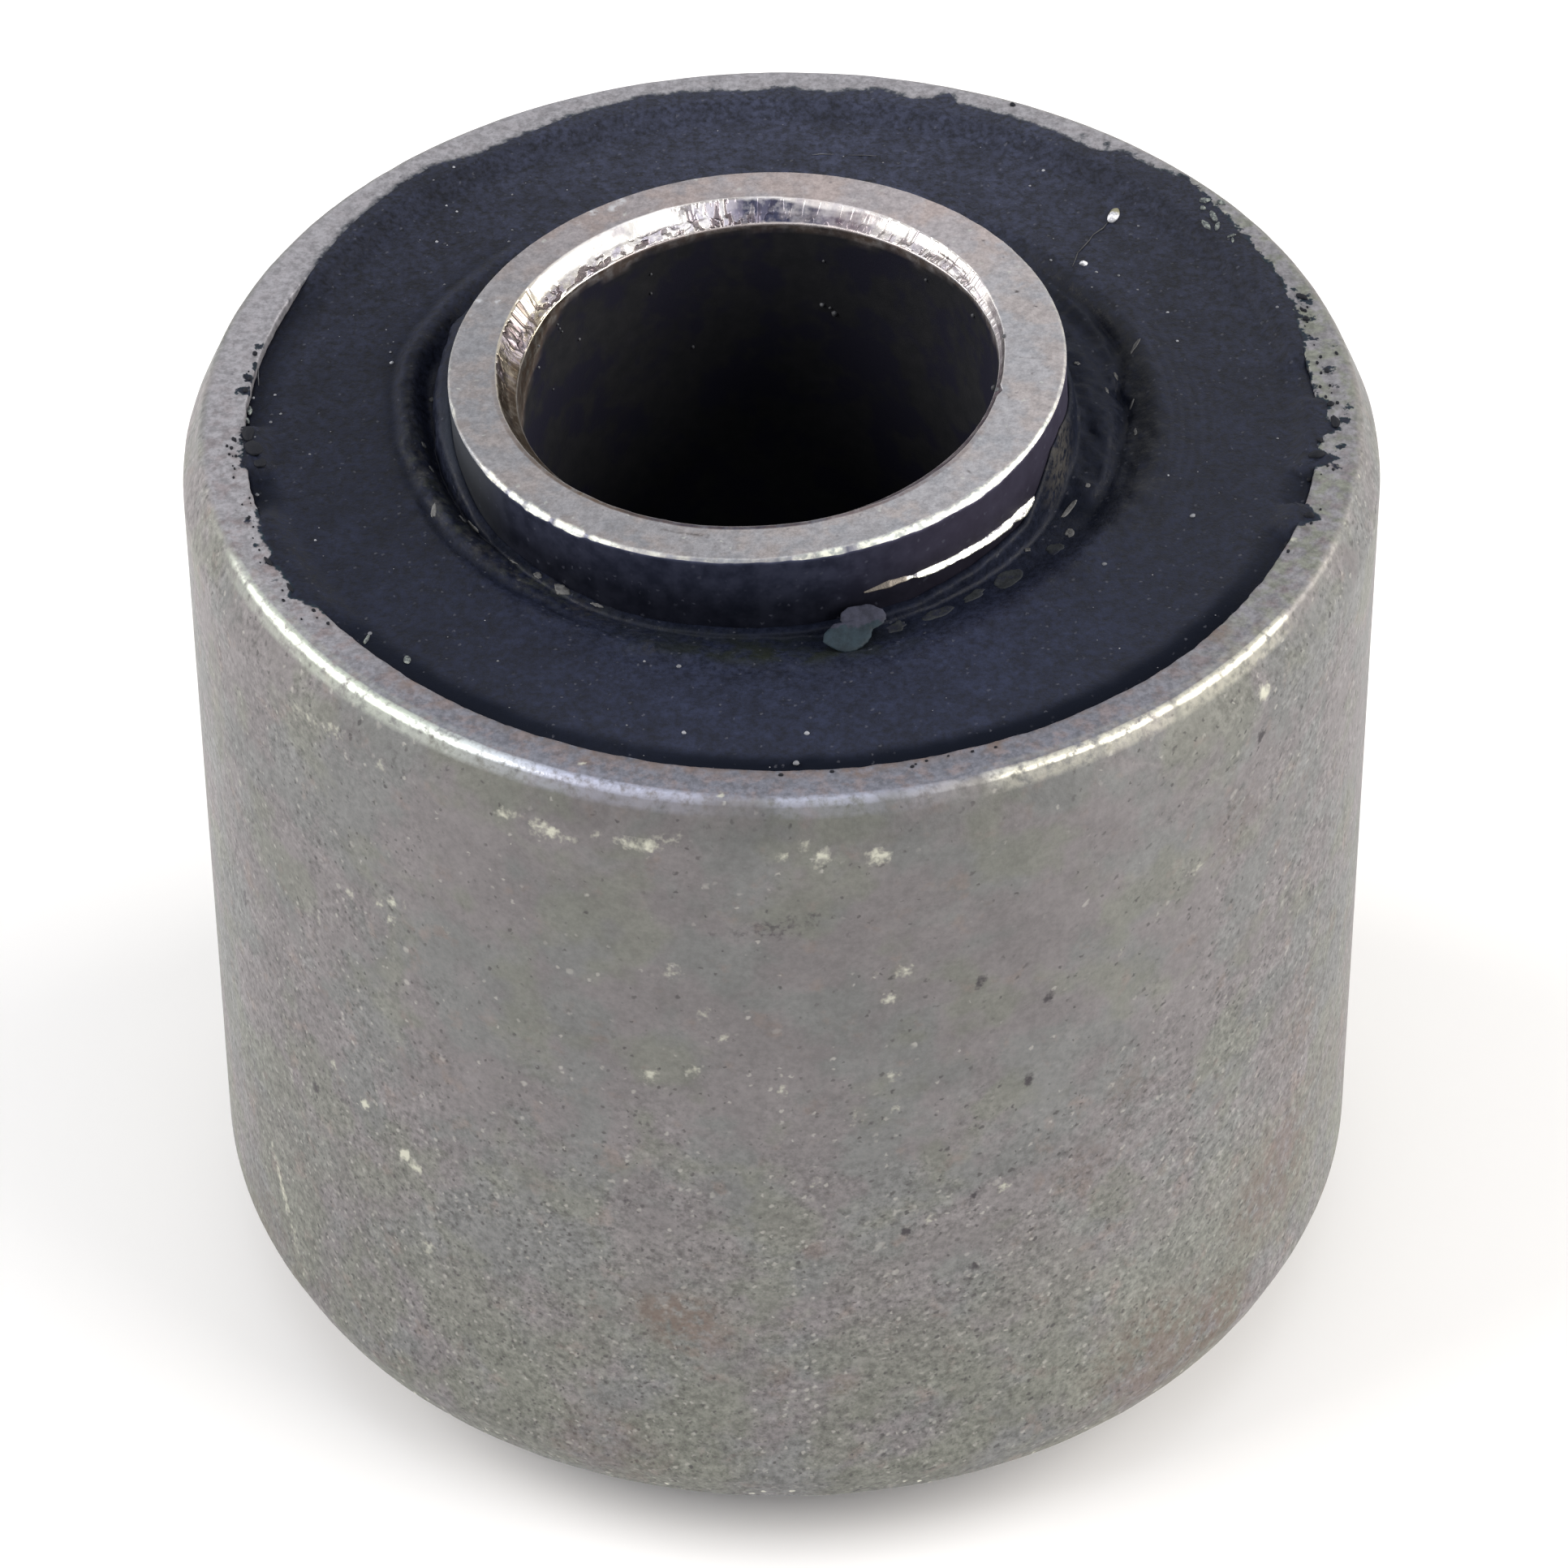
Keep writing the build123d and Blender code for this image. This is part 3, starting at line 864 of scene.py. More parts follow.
# Brown spots on the sleeve's flat end: angle, radius, size, strength.
END_STAINS = (
    (228.5, 18.0, 0.7, 0.8), (233.0, 18.0, 0.5, 0.7), (250.5, 18.1, 0.6, 0.8),
    (257.5, 18.0, 0.5, 0.8), (277.5, 17.9, 0.7, 1.0), (284.0, 17.9, 0.5, 0.8),
    (291.5, 17.9, 0.6, 1.0), (302.0, 17.9, 0.4, 0.7), (312.0, 17.9, 0.5, 0.8),
    (321.0, 17.9, 0.8, 0.9), (211.0, 18.2, 0.5, 0.4),
)

# Radius of the rounded outer edge, and how strongly it is worn and painted bright as a highlight,
# by angle.
EDGE_ROUND = (
    (0, 0.35), (90, 0.33), (180, 0.38), (205, 0.42), (230, 0.42), (262, 0.42), (280, 0.4),
    (292, 0.36), (320, 0.34), (335, 0.34),
)
EDGE_WEAR_HIGHLIGHT = (
    (0, 0.1), (90, 0.1), (180, 0.0), (199, 0.0), (204, 0.5), (211, 0.9), (213, 1.0), (243, 1.0),
    (250, 0.75), (261, 0.5), (264, 0.15), (268, 0.15), (270, 0.5), (278, 0.45), (280, 0.15),
    (283, 0.4), (287, 0.3), (288.5, 0.1), (290, 0.8), (300, 0.9), (301, 0.4), (302, 1.0),
    (309.3, 1.0), (310, 0.2), (311, 0.9), (325, 1.0), (327, 0.6), (328, 0.1), (337, 0.15),
    (345, 0.05),
)
# Bright dots on the flat end, and painted glints along its rounded edge: angle, radius, size,
# strength.
END_DOTS = (
    (1, 19.45, 0.16, 0.9), (353.5, 19.4, 0.18, 1.1), (350, 19.4, 0.18, 1.2), (346, 19.5, 0.2, 0.9),
    (342.5, 19.4, 0.16, 1.0), (340, 19.55, 0.2, 0.9), (337, 19.5, 0.16, 0.8),
    (332, 19.45, 0.16, 0.9), (338, 17.9, 0.2, 0.8), (35, 18.5, 0.4, 0.9), (37, 18.1, 0.35, 0.9),
    (250, 18.6, 0.12, 0.7), (264, 19.1, 0.12, 0.8),
)


def near_spot(points, centre, size, reach=1.3):
    """1 within a fifth of size from the centre, falling softly to 0 at reach times size."""
    away = np.linalg.norm(points - centre, axis=-1)
    return 1 - smooth(0.2 * size, reach * size, away)


def near_segment(points, start, end):
    """How far each point is from the line from start to end."""
    along = end - start
    part = np.clip((points - start) @ along / (along @ along), 0, 1)
    return np.linalg.norm(points - start - part[..., None] * along, axis=-1)


def sleeve_end_rings(seed):
    """Rings from the foot of the lead-in, over the rounded edge and the flat end, to the inside."""
    wavy = 1 + 0.12 * rough(loop(SLEEVE_RADIUS, 0), 1.6, seed + 5)
    edge_round = outline(EDGE_ROUND, DEGREES) * wavy
    edge_wear_highlight = outline(EDGE_WEAR_HIGHLIGHT, DEGREES)
    slant = math.atan2(LEAD_IN_DEPTH, LEAD_IN_LENGTH)
    corner_radius = SLEEVE_RADIUS - LEAD_IN_DEPTH
    rings, cuts, wear_highlights = [], [], []

    # worn is how far the edge is worn and painted bright as a highlight.
    def ring(radius, height, cut, worn):
        rings.append(loop(radius, height))
        cuts.append(cut)
        wear_highlights.append(worn)

    foot = SLEEVE_END - LEAD_IN_LENGTH
    foot_wave = 0.10 * rough(loop(SLEEVE_RADIUS, 3), 2.5, seed + 9)
    for part in (-0.24, -0.12, 0.0, 0.14, 0.3, 0.46, 0.6, 0.7):
        soft = 0.5 * (part + math.sqrt(part * part + 0.012))
        wave = 0.010 * rough(loop(SLEEVE_RADIUS, part * 2), 1.3, seed + 11) - 0.012
        rubbed_highlight = 0.35 * edge_wear_highlight * (part == 0.7)
        radius = SLEEVE_RADIUS - soft * LEAD_IN_DEPTH + wave
        ring(radius, foot + part * LEAD_IN_LENGTH + foot_wave * (1 - part), 0, rubbed_highlight)
    centre = corner_radius - edge_round * (1 - math.sin(slant)) / math.cos(slant)
    for part in np.linspace(0, 1, 9):
        angle = slant + part * (math.pi / 2 - slant)
        dent = 0.014 * rough(loop(SLEEVE_RADIUS, part * 0.5), 0.7, seed + 13) - 0.010
        ring(
            centre + (edge_round + dent) * math.cos(angle),
            SLEEVE_END - edge_round + (edge_round + dent) * math.sin(angle),
            smooth(0.3, 1.0, part),
            edge_wear_highlight * (1 - 0.75 * abs(2 * part - 0.95) ** 4),
        )
    inner = CUT_RADIUS + 0.05 * rough(loop(SLEEVE_RADIUS, 0), 0.9, seed)
    inner = inner + 0.04 * rough(loop(SLEEVE_RADIUS, 5), 0.3, seed + 17)
    for part in np.linspace(0.15, 1.0, 8):
        wave = 0.005 * rough(loop(SLEEVE_RADIUS - part, 7), 0.9, seed + 15) - 0.008
        rubbed_highlight = 0.15 * edge_wear_highlight * (part < 0.2)
        ring(centre - part * (centre - inner - 0.06), SLEEVE_END + wave, 1, rubbed_highlight)
    ring(inner + 0.01, SLEEVE_END - 0.06, 1, 0)
    ring(inner, SLEEVE_END - 0.14, 1, 0)
    ring(inner, RUBBER_FACE - 0.3, 1, 0)
    ring(SLEEVE_INNER_RADIUS, RUBBER_FACE - 0.6, 0, 0)
    spread = lambda values: np.stack([value + np.zeros(STEPS) for value in values])
    return np.stack(rings), spread(cuts), spread(wear_highlights)


def make_sleeve():
    """The sleeve's skin, with its marks and painted glints, scratches, stains, wear painted bright
    as highlights and film of rubber as values.
    """
    foot = SLEEVE_END - LEAD_IN_LENGTH * 1.3
    heights = np.linspace(-foot, foot, 74)[1:-1]
    wall = np.stack([loop(SLEEVE_RADIUS, height) for height in heights])
    swell = 0.5 + 0.5 * rough(wall, 6.0, 41)
    pits = smooth(0.35, 0.8, rough(wall, 0.8, 43))
    wall[..., :2] *= 1 - (0.012 + 0.015 * swell + 0.012 * pits)[..., None] / SLEEVE_RADIUS
    top, top_cut, top_wear_highlight = sleeve_end_rings(SLEEVE_SEEDS[0])
    low, low_cut, low_wear_highlight = sleeve_end_rings(SLEEVE_SEEDS[1])
    flat = np.zeros(wall.shape[:2])
    rings = np.concatenate([wall, top, other_end(low)])
    cut = np.concatenate([flat, top_cut, other_end(low_cut)])
    # The edges' wear, painted bright there as highlights.
    worn = np.concatenate([flat, top_wear_highlight, LOW_END_WEAR_HIGHLIGHT * other_end(low_wear_highlight)])
    radius = np.hypot(rings[..., 0], rings[..., 1])
    mark, stain = np.zeros(rings.shape[:2]), np.zeros(rings.shape[:2])
    for degrees, height, size, strength in WALL_MARKS:
        mark += strength * near_spot(rings, polar(degrees, SLEEVE_RADIUS, height), size)
    for a, low_z, b, high_z, width, strength in WALL_SCRATCHES:
        ends = polar(a, SLEEVE_RADIUS, low_z), polar(b, SLEEVE_RADIUS, high_z)
        away = near_segment(rings, *ends) + 0.12 * rough(rings, 0.9, 71)
        broken = smooth(-0.5, 0.3, noise(rings, 0.7, 77))
        mark += strength * broken * (1 - smooth(0.4 * width, 1.6 * width, away))
    spots = [(a, SLEEVE_RADIUS, z, size, strength) for a, z, size, strength in STAINS]
    spots += [(a, r, SLEEVE_END, size, strength) for a, r, size, strength in END_STAINS]
    for degrees, out, height, size, strength in spots:
        away = np.linalg.norm(rings - polar(degrees, out, height), axis=-1)
        away += 0.3 * size * rough(rings, 0.8 * size, 55)
        stain = np.maximum(stain, strength * (1 - smooth(0.3 * size, size, away)))
    inside = (1 - smooth(17.95, 18.4, radius)) * smooth(13, 15, rings[..., 2])
    stain = np.maximum(stain, 0.75 * inside * hump(DEGREES, 262, 75))
    # Bright dots; those along the rounded edge are painted glints.
    for degrees, out, size, strength in END_DOTS:
        mark += strength * near_spot(rings, polar(degrees, out, SLEEVE_END), size)
    film = np.where(radius < 19.6, outline(FILM_EDGE, DEGREES) - radius, -1.0)
    film = np.where(rings[..., 2] > 0, film, outline(LOW_FILM_EDGE, DEGREES) - radius)
    for degrees, out, size in FILM_SPOTS:
        away = np.linalg.norm(rings - polar(degrees, out, SLEEVE_END), axis=-1)
        film = np.maximum(film, np.maximum(size - away, -1.0))
    film = np.where(np.abs(rings[..., 2]) > 15.8, film, -1.0)
    sleeve = ring_skin(
        "sleeve_body", rings, SLEEVE_STEEL, cut=cut, worn=worn, mark=mark, stain=stain, film=film
    )
    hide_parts("outer_sleeve")
    return sleeve


# ---------------------------------------------------------------- inner tube

# Radius of the mouth's outer edge, by angle: the chamfer was cut off centre.
MOUTH_EDGE = (
    (0, 8.2), (20, 8.35), (30, 8.5), (45, 8.6), (60, 8.7), (90, 8.85), (110, 8.95), (150, 8.9),
    (180, 8.65), (210, 8.62), (270, 8.5), (300, 8.5), (320, 8.4), (330, 8.3), (344, 8.22),
    (346, 8.34), (348, 8.2),
)
# Depth of the mouth's chamfer below the end.
MOUTH_DEPTH = (
    (0, 0.25), (20, 0.36), (45, 0.43), (70, 0.43), (90, 0.5), (110, 0.57), (130, 0.62),
    (150, 0.6), (165, 0.8), (180, 0.9), (200, 0.9), (270, 0.5), (320, 0.3),
)
# Gloss and painted highlight of the chamfer's upper and lower facets, by angle.
UPPER_GLOSS_HIGHLIGHT = (
    (0, 0.3), (18, 0.4), (25, 0.9), (60, 0.9), (65, 0.5), (80, 0.4), (85, 0.7), (95, 0.6),
    (100, 0.85), (108, 1.0), (150, 1.0), (158, 0.9), (164, 0.7), (176, 0.5), (200, 0.3), (220, 0.1),
    (340, 0.2),
)
LOWER_GLOSS_HIGHLIGHT = (
    (0, 0.2), (25, 0.6), (45, 0.8), (60, 0.7), (65, 0.3), (83, 0.1), (95, 0.4), (98, 0.8),
    (120, 0.9), (150, 0.8), (160, 0.5), (200, 0.2), (330, 0.1),
)
# How dark the upper and the lower facet look, by angle.
UPPER_SHADE = (
    (0, 0.6), (20, 0.5), (24, 0), (58, 0), (64, 0.6), (76, 0.75), (83, 0.8), (86, 1.0), (94, 1.0),
    (98, 0.25), (104, 0.15), (110, 0), (150, 0), (158, 0.15), (165, 0.5), (176, 0.8), (190, 0.95),
    (200, 1.0), (340, 0.9),
)
LOWER_SHADE = (
    (0, 0.7), (24, 0.25), (48, 0.2), (60, 0.4), (64, 0.8), (82, 0.85), (84, 1.0), (93, 0.95),
    (98, 0.3), (110, 0.1), (140, 0.1), (150, 0.25), (160, 0.6), (170, 0.9), (200, 1.0), (340, 0.9),
)
# How crinkled the upper and the lower facet are, by angle.
UPPER_FOLDS = (
    (0, 0), (22, 0), (30, 0.5), (58, 0.5), (63, 0.1), (92, 0.2), (97, 0.9), (106, 0.8), (111, 0),
    (146, 0), (152, 0.9), (172, 0.9), (182, 0.3), (200, 0),
)
LOWER_FOLDS = (
    (0, 0), (22, 0.2), (30, 0.7), (58, 0.7), (64, 0.2), (88, 0.2), (95, 1.0), (152, 1.0),
    (170, 0.6), (185, 0),
)
# How far down the bore is bare brown steel before it turns near black.
BARE_BORE = (
    (0, 0.05), (110, 0.05), (135, 0.15), (150, 0.5), (165, 1.2), (180, 1.9), (198, 1.9), (206, 0.9),
    (215, 0.12), (270, 0.06),
)
# Height of the bright broken outer edge, and its gloss and painted highlight: burrs leave steps on
# the left.
OUTER_EDGE = (
    (0, 0.09), (45, 0.07), (95, 0.03), (170, 0.05), (187, 0.06), (190, 0.1), (193, 0.08),
    (196, 0.05), (204, 0.07), (208, 0.11), (212, 0.16), (217, 0.14), (217.4, 0.08), (218, 0.16),
    (222, 0.16), (222.5, 0.21), (228, 0.19), (229, 0.1), (230, 0.2), (236, 0.19), (237.5, 0.1),
    (238.5, 0.14), (244, 0.11), (250, 0.1), (276, 0.1), (278, 0.15), (300, 0.18), (320, 0.2),
    (326, 0.14), (334, 0.11), (345, 0.1),
)
OUTER_GLOSS_HIGHLIGHT = (
    (0, 0.35), (30, 0.35), (50, 0.1), (140, 0.1), (150, 0.3), (187, 0.25), (190, 0.45), (193, 0.4),
    (196, 0.15), (204, 0.2), (208, 0.4), (210, 0.2), (211, 0.7), (213, 0.7), (213.6, 0.3),
    (214.2, 1), (216, 0.8), (217, 0.1), (217.6, 0.1), (218.4, 1), (221.6, 1), (222.2, 0.1),
    (222.8, 1), (228, 1), (228.8, 0.1), (229.6, 0.1), (230.4, 1), (236, 1), (236.8, 0.1),
    (237.6, 0.1), (238.4, 1), (243.5, 1), (245, 0.45), (262, 0.4), (276, 0.35), (277, 1),
    (279.6, 1), (280.2, 0.3), (281, 1), (285.4, 1), (286.2, 0.2), (288, 0.3), (289, 1), (292.4, 1),
    (293, 0.6), (294, 1), (320.8, 1), (321.3, 0.2), (321.8, 1), (338, 1), (345, 0.5),
)

# Marks on the tube's flat end: angle, radius, size, strength.
END_MARKS = (
    (156.5, 9.43, 0.2, 0.8), (157.4, 10.1, 0.2, 0.7), (162.0, 10.05, 0.15, 0.6),
    (119.6, 9.87, 0.3, 0.8), (117.1, 10.05, 0.3, 0.8), (123.3, 10.08, 0.3, 0.8),
    (127.7, 9.91, 0.4, 0.4), (113.0, 9.6, 0.15, 0.7), (141.0, 9.9, 0.12, 0.6),
    (70.0, 9.8, 0.12, -0.8), (38.0, 9.7, 0.15, -0.6), (20.0, 9.2, 0.15, -0.7),
    (14.0, 9.6, 0.15, -0.6), (318.0, 9.3, 0.12, -0.7), (352.0, 9.2, 0.15, -0.5),
)
END_SCRATCHES = (
    (184.2, 10.15, 177.1, 8.95, 0.08, 0.35), (167.0, 10.15, 163.8, 9.6, 0.08, 0.35),
    (121.5, 9.4, 117.5, 9.6, 0.06, 0.6), (118.5, 9.75, 115.0, 9.85, 0.05, -0.8),
    (358.0, 8.5, 356.8, 9.8, 0.08, -0.3), (250.0, 9.0, 262.0, 9.1, 0.06, -0.5),
)


def tube_end_rings(seed):
    """Rings in the tube's own frame, from the wall over its end and the chamfer into the bore, and
    each point's gloss and painted highlight, wall, scale, brown, shade and crumple values."""
    rings, values = [], []
    raised = 0.12 * hump(DEGREES, 95, 85)

    def ring(radius, height, gloss_and_highlight=0, wall=0, scale=0, brown=0, shade=0, crumple=0, edge=0):
        rings.append(loop(radius, height + raised))
        levels = (gloss_and_highlight, wall, scale, brown, shade, crumple, edge)
        values.append([value + np.zeros(STEPS) for value in levels])

    chips = rough(loop(TUBE_RADIUS, 9), 0.30, seed + 2)
    ragged = 1 + 0.22 * rough(loop(TUBE_RADIUS, 0), 0.6, seed) + 0.22 * chips
    edge = outline(OUTER_EDGE, DEGREES) * ragged
    flicker = np.clip(0.85 + 0.45 * rough(loop(TUBE_RADIUS, 13), 0.40, seed + 4), 0, 1)
    gloss_and_highlight = outline(OUTER_GLOSS_HIGHLIGHT, DEGREES) * flicker
    wide = 1.05 * edge
    # Painted dark gaps: where the edge's highlight breaks, the bevel takes the outside's dark
    # colour.
    gap = 0.9 * (1 - smooth(0.15, 0.45, gloss_and_highlight)) * hump(DEGREES, 270, 120)
    for below in (3.2, 2.6, 2.0, 1.4, 0.9, 0.5):
        swell = 0.010 * rough(loop(TUBE_RADIUS, below), 1.1, seed + 1) - 0.012
        ring(TUBE_RADIUS + swell, TUBE_END - below, wall=1)
    ring(TUBE_RADIUS - 0.002, TUBE_END - edge - 0.12, wall=1)
    ring(TUBE_RADIUS - 0.004, TUBE_END - edge - 0.01, wall=1)
    ring(TUBE_RADIUS - 0.01, TUBE_END - edge, gloss_and_highlight=gloss_and_highlight, wall=gap, edge=1)
    for part in (0.25, 0.5, 0.75):
        dent = 0.018 * rough(loop(TUBE_RADIUS, part), 0.4, seed + 3)
        dent = 0.7 * (dent + 0.16 * edge * math.sin(part * math.pi))
        radius = TUBE_RADIUS - part * wide + dent - 0.01
        ring(radius, TUBE_END - (1 - part) * edge + dent - 0.01, gloss_and_highlight=gloss_and_highlight, wall=gap, edge=1)
    ring(TUBE_RADIUS - wide, TUBE_END - 0.008, gloss_and_highlight=0.5 * gloss_and_highlight, edge=1)
    mouth = outline(MOUTH_EDGE, DEGREES) + 0.02 * rough(loop(8.5, 0), 0.6, seed + 7)
    depth = outline(MOUTH_DEPTH, DEGREES)
    outside = TUBE_RADIUS - wide - 0.04
    for part in (0, 0.1, 0.2, 0.3, 0.4, 0.5, 0.6, 0.7, 0.8, 0.9, 0.94, 1):
        wave = 0.004 * rough(loop(outside - part, 5), 0.9, seed + 9) - 0.006
        lip = hump(DEGREES, 258, 95) * (part > 0.93)
        ring(outside + part * (mouth + 0.04 - outside), TUBE_END + wave, brown=lip, shade=0.8 * lip)
    upper, lower = outline(UPPER_GLOSS_HIGHLIGHT, DEGREES), outline(LOWER_GLOSS_HIGHLIGHT, DEGREES)
    upper_shade, lower_shade = outline(UPPER_SHADE, DEGREES), outline(LOWER_SHADE, DEGREES)
    upper_folds, lower_folds = outline(UPPER_FOLDS, DEGREES), outline(LOWER_FOLDS, DEGREES)
    left, front = hump(DEGREES, 150, 75), hump(DEGREES, 270, 60)
    rim = hump(DEGREES, 74, 13)
    ring(mouth, TUBE_END - 0.015, gloss_and_highlight=0.6 * upper)
    for part in np.linspace(0.07, 0.93, 15):
        place = loop(9.0, 4 * part)
        below = smooth(0.46, 0.62, part)
        folded = upper_folds + below * (lower_folds - upper_folds)
        high = 0.010 + 0.015 * below + 0.065 * folded
        crinkle = high * rough(place * (1, 1, 0.4), 0.34, seed + 11)
        wedge = 0.07 * hump(DEGREES, 38, 12) * math.exp(-(((part - 0.5) / 0.12) ** 2))
        steep, gentle = 1.25 * part * (1 - below), below * (0.62 + 0.38 * (part - 0.46) / 0.54)
        fall = depth * (steep + gentle - 0.06 * below * (1 - part))
        radius = mouth + part * (BORE_RADIUS + 0.02 - mouth) + 0.7 * crinkle + wedge
        dull = 1 - 0.8 * hump(DEGREES, 38, 9) * math.exp(-(((part - 0.55) / 0.16) ** 2))
        shown = (upper + below * (lower - upper)) * dull
        dark = upper_shade + below * (lower_shade - upper_shade)
        dark = dark * smooth(0.22 * rim, 0.12 + 0.22 * rim, part)
        low_line = math.exp(-(((part - 0.84) / 0.06) ** 2))
        dark = np.maximum(dark, 0.9 * hump(DEGREES, 152, 22) * low_line)
        ring(
            radius, TUBE_END - fall + 0.7 * crinkle - 0.02, gloss_and_highlight=shown, shade=dark,
            brown=0.5 * below * left * (1 - 0.6 * lower_folds) + 0.6 * front * part, crumple=folded,
        )
    lit = 0.9 * hump(DEGREES, 147, 26)
    ring(BORE_RADIUS + 0.02, TUBE_END - depth - 0.01, gloss_and_highlight=lit + 0.2, brown=0.8 * front)
    ring(BORE_RADIUS, TUBE_END - depth - 0.07, gloss_and_highlight=lit, brown=0.9 * np.maximum(front, left))
    bare = outline(BARE_BORE, DEGREES)
    for below in (0.12, 0.25, 0.45, 0.7, 1.0, 1.35, 1.75, 2.2, 3.0, 4.5, 6.5):
        scale = smooth(-0.25, 0.35, below - bare + 0.35 * rough(loop(8, 3 * below), 0.9, seed + 17))
        ring(BORE_RADIUS, TUBE_END - depth - below, scale=scale, brown=0.8, gloss_and_highlight=0.25)
    return np.stack(rings), np.moveaxis(np.array(values), 1, 0)


def make_tube():
    """The tube's skin, leant over, with its marks and each ring's values."""
    top, top_values = tube_end_rings(TUBE_SEEDS[0])
    low, low_values = tube_end_rings(TUBE_SEEDS[1])
    rings = np.concatenate([top, other_end(low)])
    pairs = zip(top_values, low_values)
    values = [np.concatenate([high, other_end(under)]) for high, under in pairs]
    mark = np.zeros(rings.shape[:2])
    for degrees, radius, size, strength in END_MARKS:
        mark += strength * near_spot(rings, polar(degrees, radius, TUBE_END), size, reach=1.2)
    for a, start, b, end, width, strength in END_SCRATCHES:
        away = near_segment(rings, polar(a, start, TUBE_END), polar(b, end, TUBE_END))
        mark += strength * (1 - smooth(0.4 * width, 1.6 * width, away))
    names = ("gloss_and_highlight", "wall", "scale", "brown", "shade", "crumple", "edge")
    tube = ring_skin("tube_body", lean(rings), TUBE_STEEL, mark=mark, **dict(zip(names, values)))
    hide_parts("inner_tube")


# Bright step at the tube's foot: angle, height of its middle, width.
BEAD = (
    (289, 16.29, 0.05), (291, 16.3, 0.13), (294, 16.33, 0.21), (297, 16.32, 0.21),
    (298.6, 16.27, 0.1), (299.4, 16.26, 0.2), (302, 16.25, 0.24), (306, 16.23, 0.22),
    (310, 16.24, 0.2), (315, 16.17, 0.23), (321, 16.12, 0.3), (326, 16.1, 0.28),
    (329.5, 16.06, 0.16), (331.5, 16.05, 0.05),
)
# Its section, as parts of its height: out from the wall, and up.
BEAD_SECTION = (
    (-0.1, 0.55), (0.02, 0.5), (0.3, 0.26), (0.56, 0.02), (0.76, -0.2), (0.84, -0.32),
    (0.8, -0.42), (0.62, -0.48), (0.3, -0.5), (-0.1, -0.52),
)


def make_bead():
    """The bright step, as a rib half sunk in the tube's wall: its upper side slopes outwards."""
    angles, middles, widths = zip(*BEAD)
    out, up = np.array(BEAD_SECTION).T
    rings = []
    for degrees in np.linspace(angles[0], angles[-1], 240):
        uneven = 1 + 0.38 * noise(polar(degrees, 10, 3), 0.4, 81)
        width = 0.86 * np.interp(degrees, angles, widths) * uneven
        middle = np.interp(degrees, angles, middles) + 0.03 * noise(polar(degrees, 10, 7), 0.8, 83)
        worn = 1 + 0.10 * noise(polar(degrees + 40 * out, 10, 5), 0.35, 85)
        reach = TUBE_RADIUS + 0.85 * width * out * worn
        rings.append(lean(polar(degrees + 0 * out, reach, middle + width * up)))
    join_parts("foot_bead", [closed_rings(rings)], BEAD_STEEL)


# ---------------------------------------------------------------- rubber ring

# Top and width of the rubber collar that stands against the tube, by angle.
COLLAR = (
    (0, 16.2, 0.2), (45, 16.4, 0.25), (60, 16.5, 0.35), (110, 16.6, 0.6), (140, 16.8, 1.1),
    (155, 16.85, 1.1), (165, 16.8, 0.8), (177, 16.7, 0.58), (188, 16.5, 0.44), (196, 16.3, 0.34),
    (205, 16.0, 0.3), (215, 15.7, 0.28), (225, 15.45, 0.28), (245, 15.4, 0.28), (262, 15.4, 0.28),
    (300, 15.4, 0.28), (326, 15.6, 0.22), (333, 16.2, 0.14), (339, 16.9, 0.1), (345, 17.0, 0.1),
    (352, 16.6, 0.15),
)
# The collar's section: part of its height, part of its width.
COLLAR_SECTION = (
    (0.3, 1.1), (0.55, 1.02), (0.78, 0.95), (0.92, 0.8), (1.0, 0.55), (1.03, 0.25), (1.05, 0.0),
)
# The groove round the tube, shallower and narrower in front: angle, radius of its floor's edge,
# radius of its rim, height of its floor.
GROOVE = (
    (0, 11.5, 12.7, 15.0), (30, 11.65, 12.85, 15.0), (160, 11.65, 12.85, 15.0),
    (200, 11.5, 12.75, 15.0), (225, 11.3, 12.5, 15.05), (245, 11.0, 12.3, 15.15),
    (265, 10.8, 12.3, 15.25), (285, 10.9, 12.6, 15.25), (300, 10.8, 12.2, 15.25),
    (325, 10.9, 12.0, 15.2), (340, 11.3, 12.3, 15.05), (350, 11.4, 12.6, 15.0),
)
# The rough ridge round the left of the groove: angle, middle radius, half its width, height.
RIDGE = (
    (120, 13.1, 0.3, 0), (140, 12.95, 0.32, 0.12), (164, 12.9, 0.36, 0.22),
    (175, 12.5, 0.42, 0.26), (185, 12.15, 0.46, 0.32), (196, 11.9, 0.52, 0.4),
    (204, 11.75, 0.56, 0.44), (212, 11.6, 0.6, 0.42), (220, 11.45, 0.6, 0.34),
    (230, 11.2, 0.6, 0.22), (245, 11.1, 0.6, 0.08), (256, 11.0, 0.5, 0),
)
# Radius of the torn edge of the flash on the right.
FLASH_EDGE = (
    (338, 10.9), (348, 11.05), (354, 11.1), (2, 11.35), (7, 11.5), (10, 11.3), (13, 11.6),
    (17, 11.85), (24, 12.0), (33, 12.1), (48, 12.15),
)


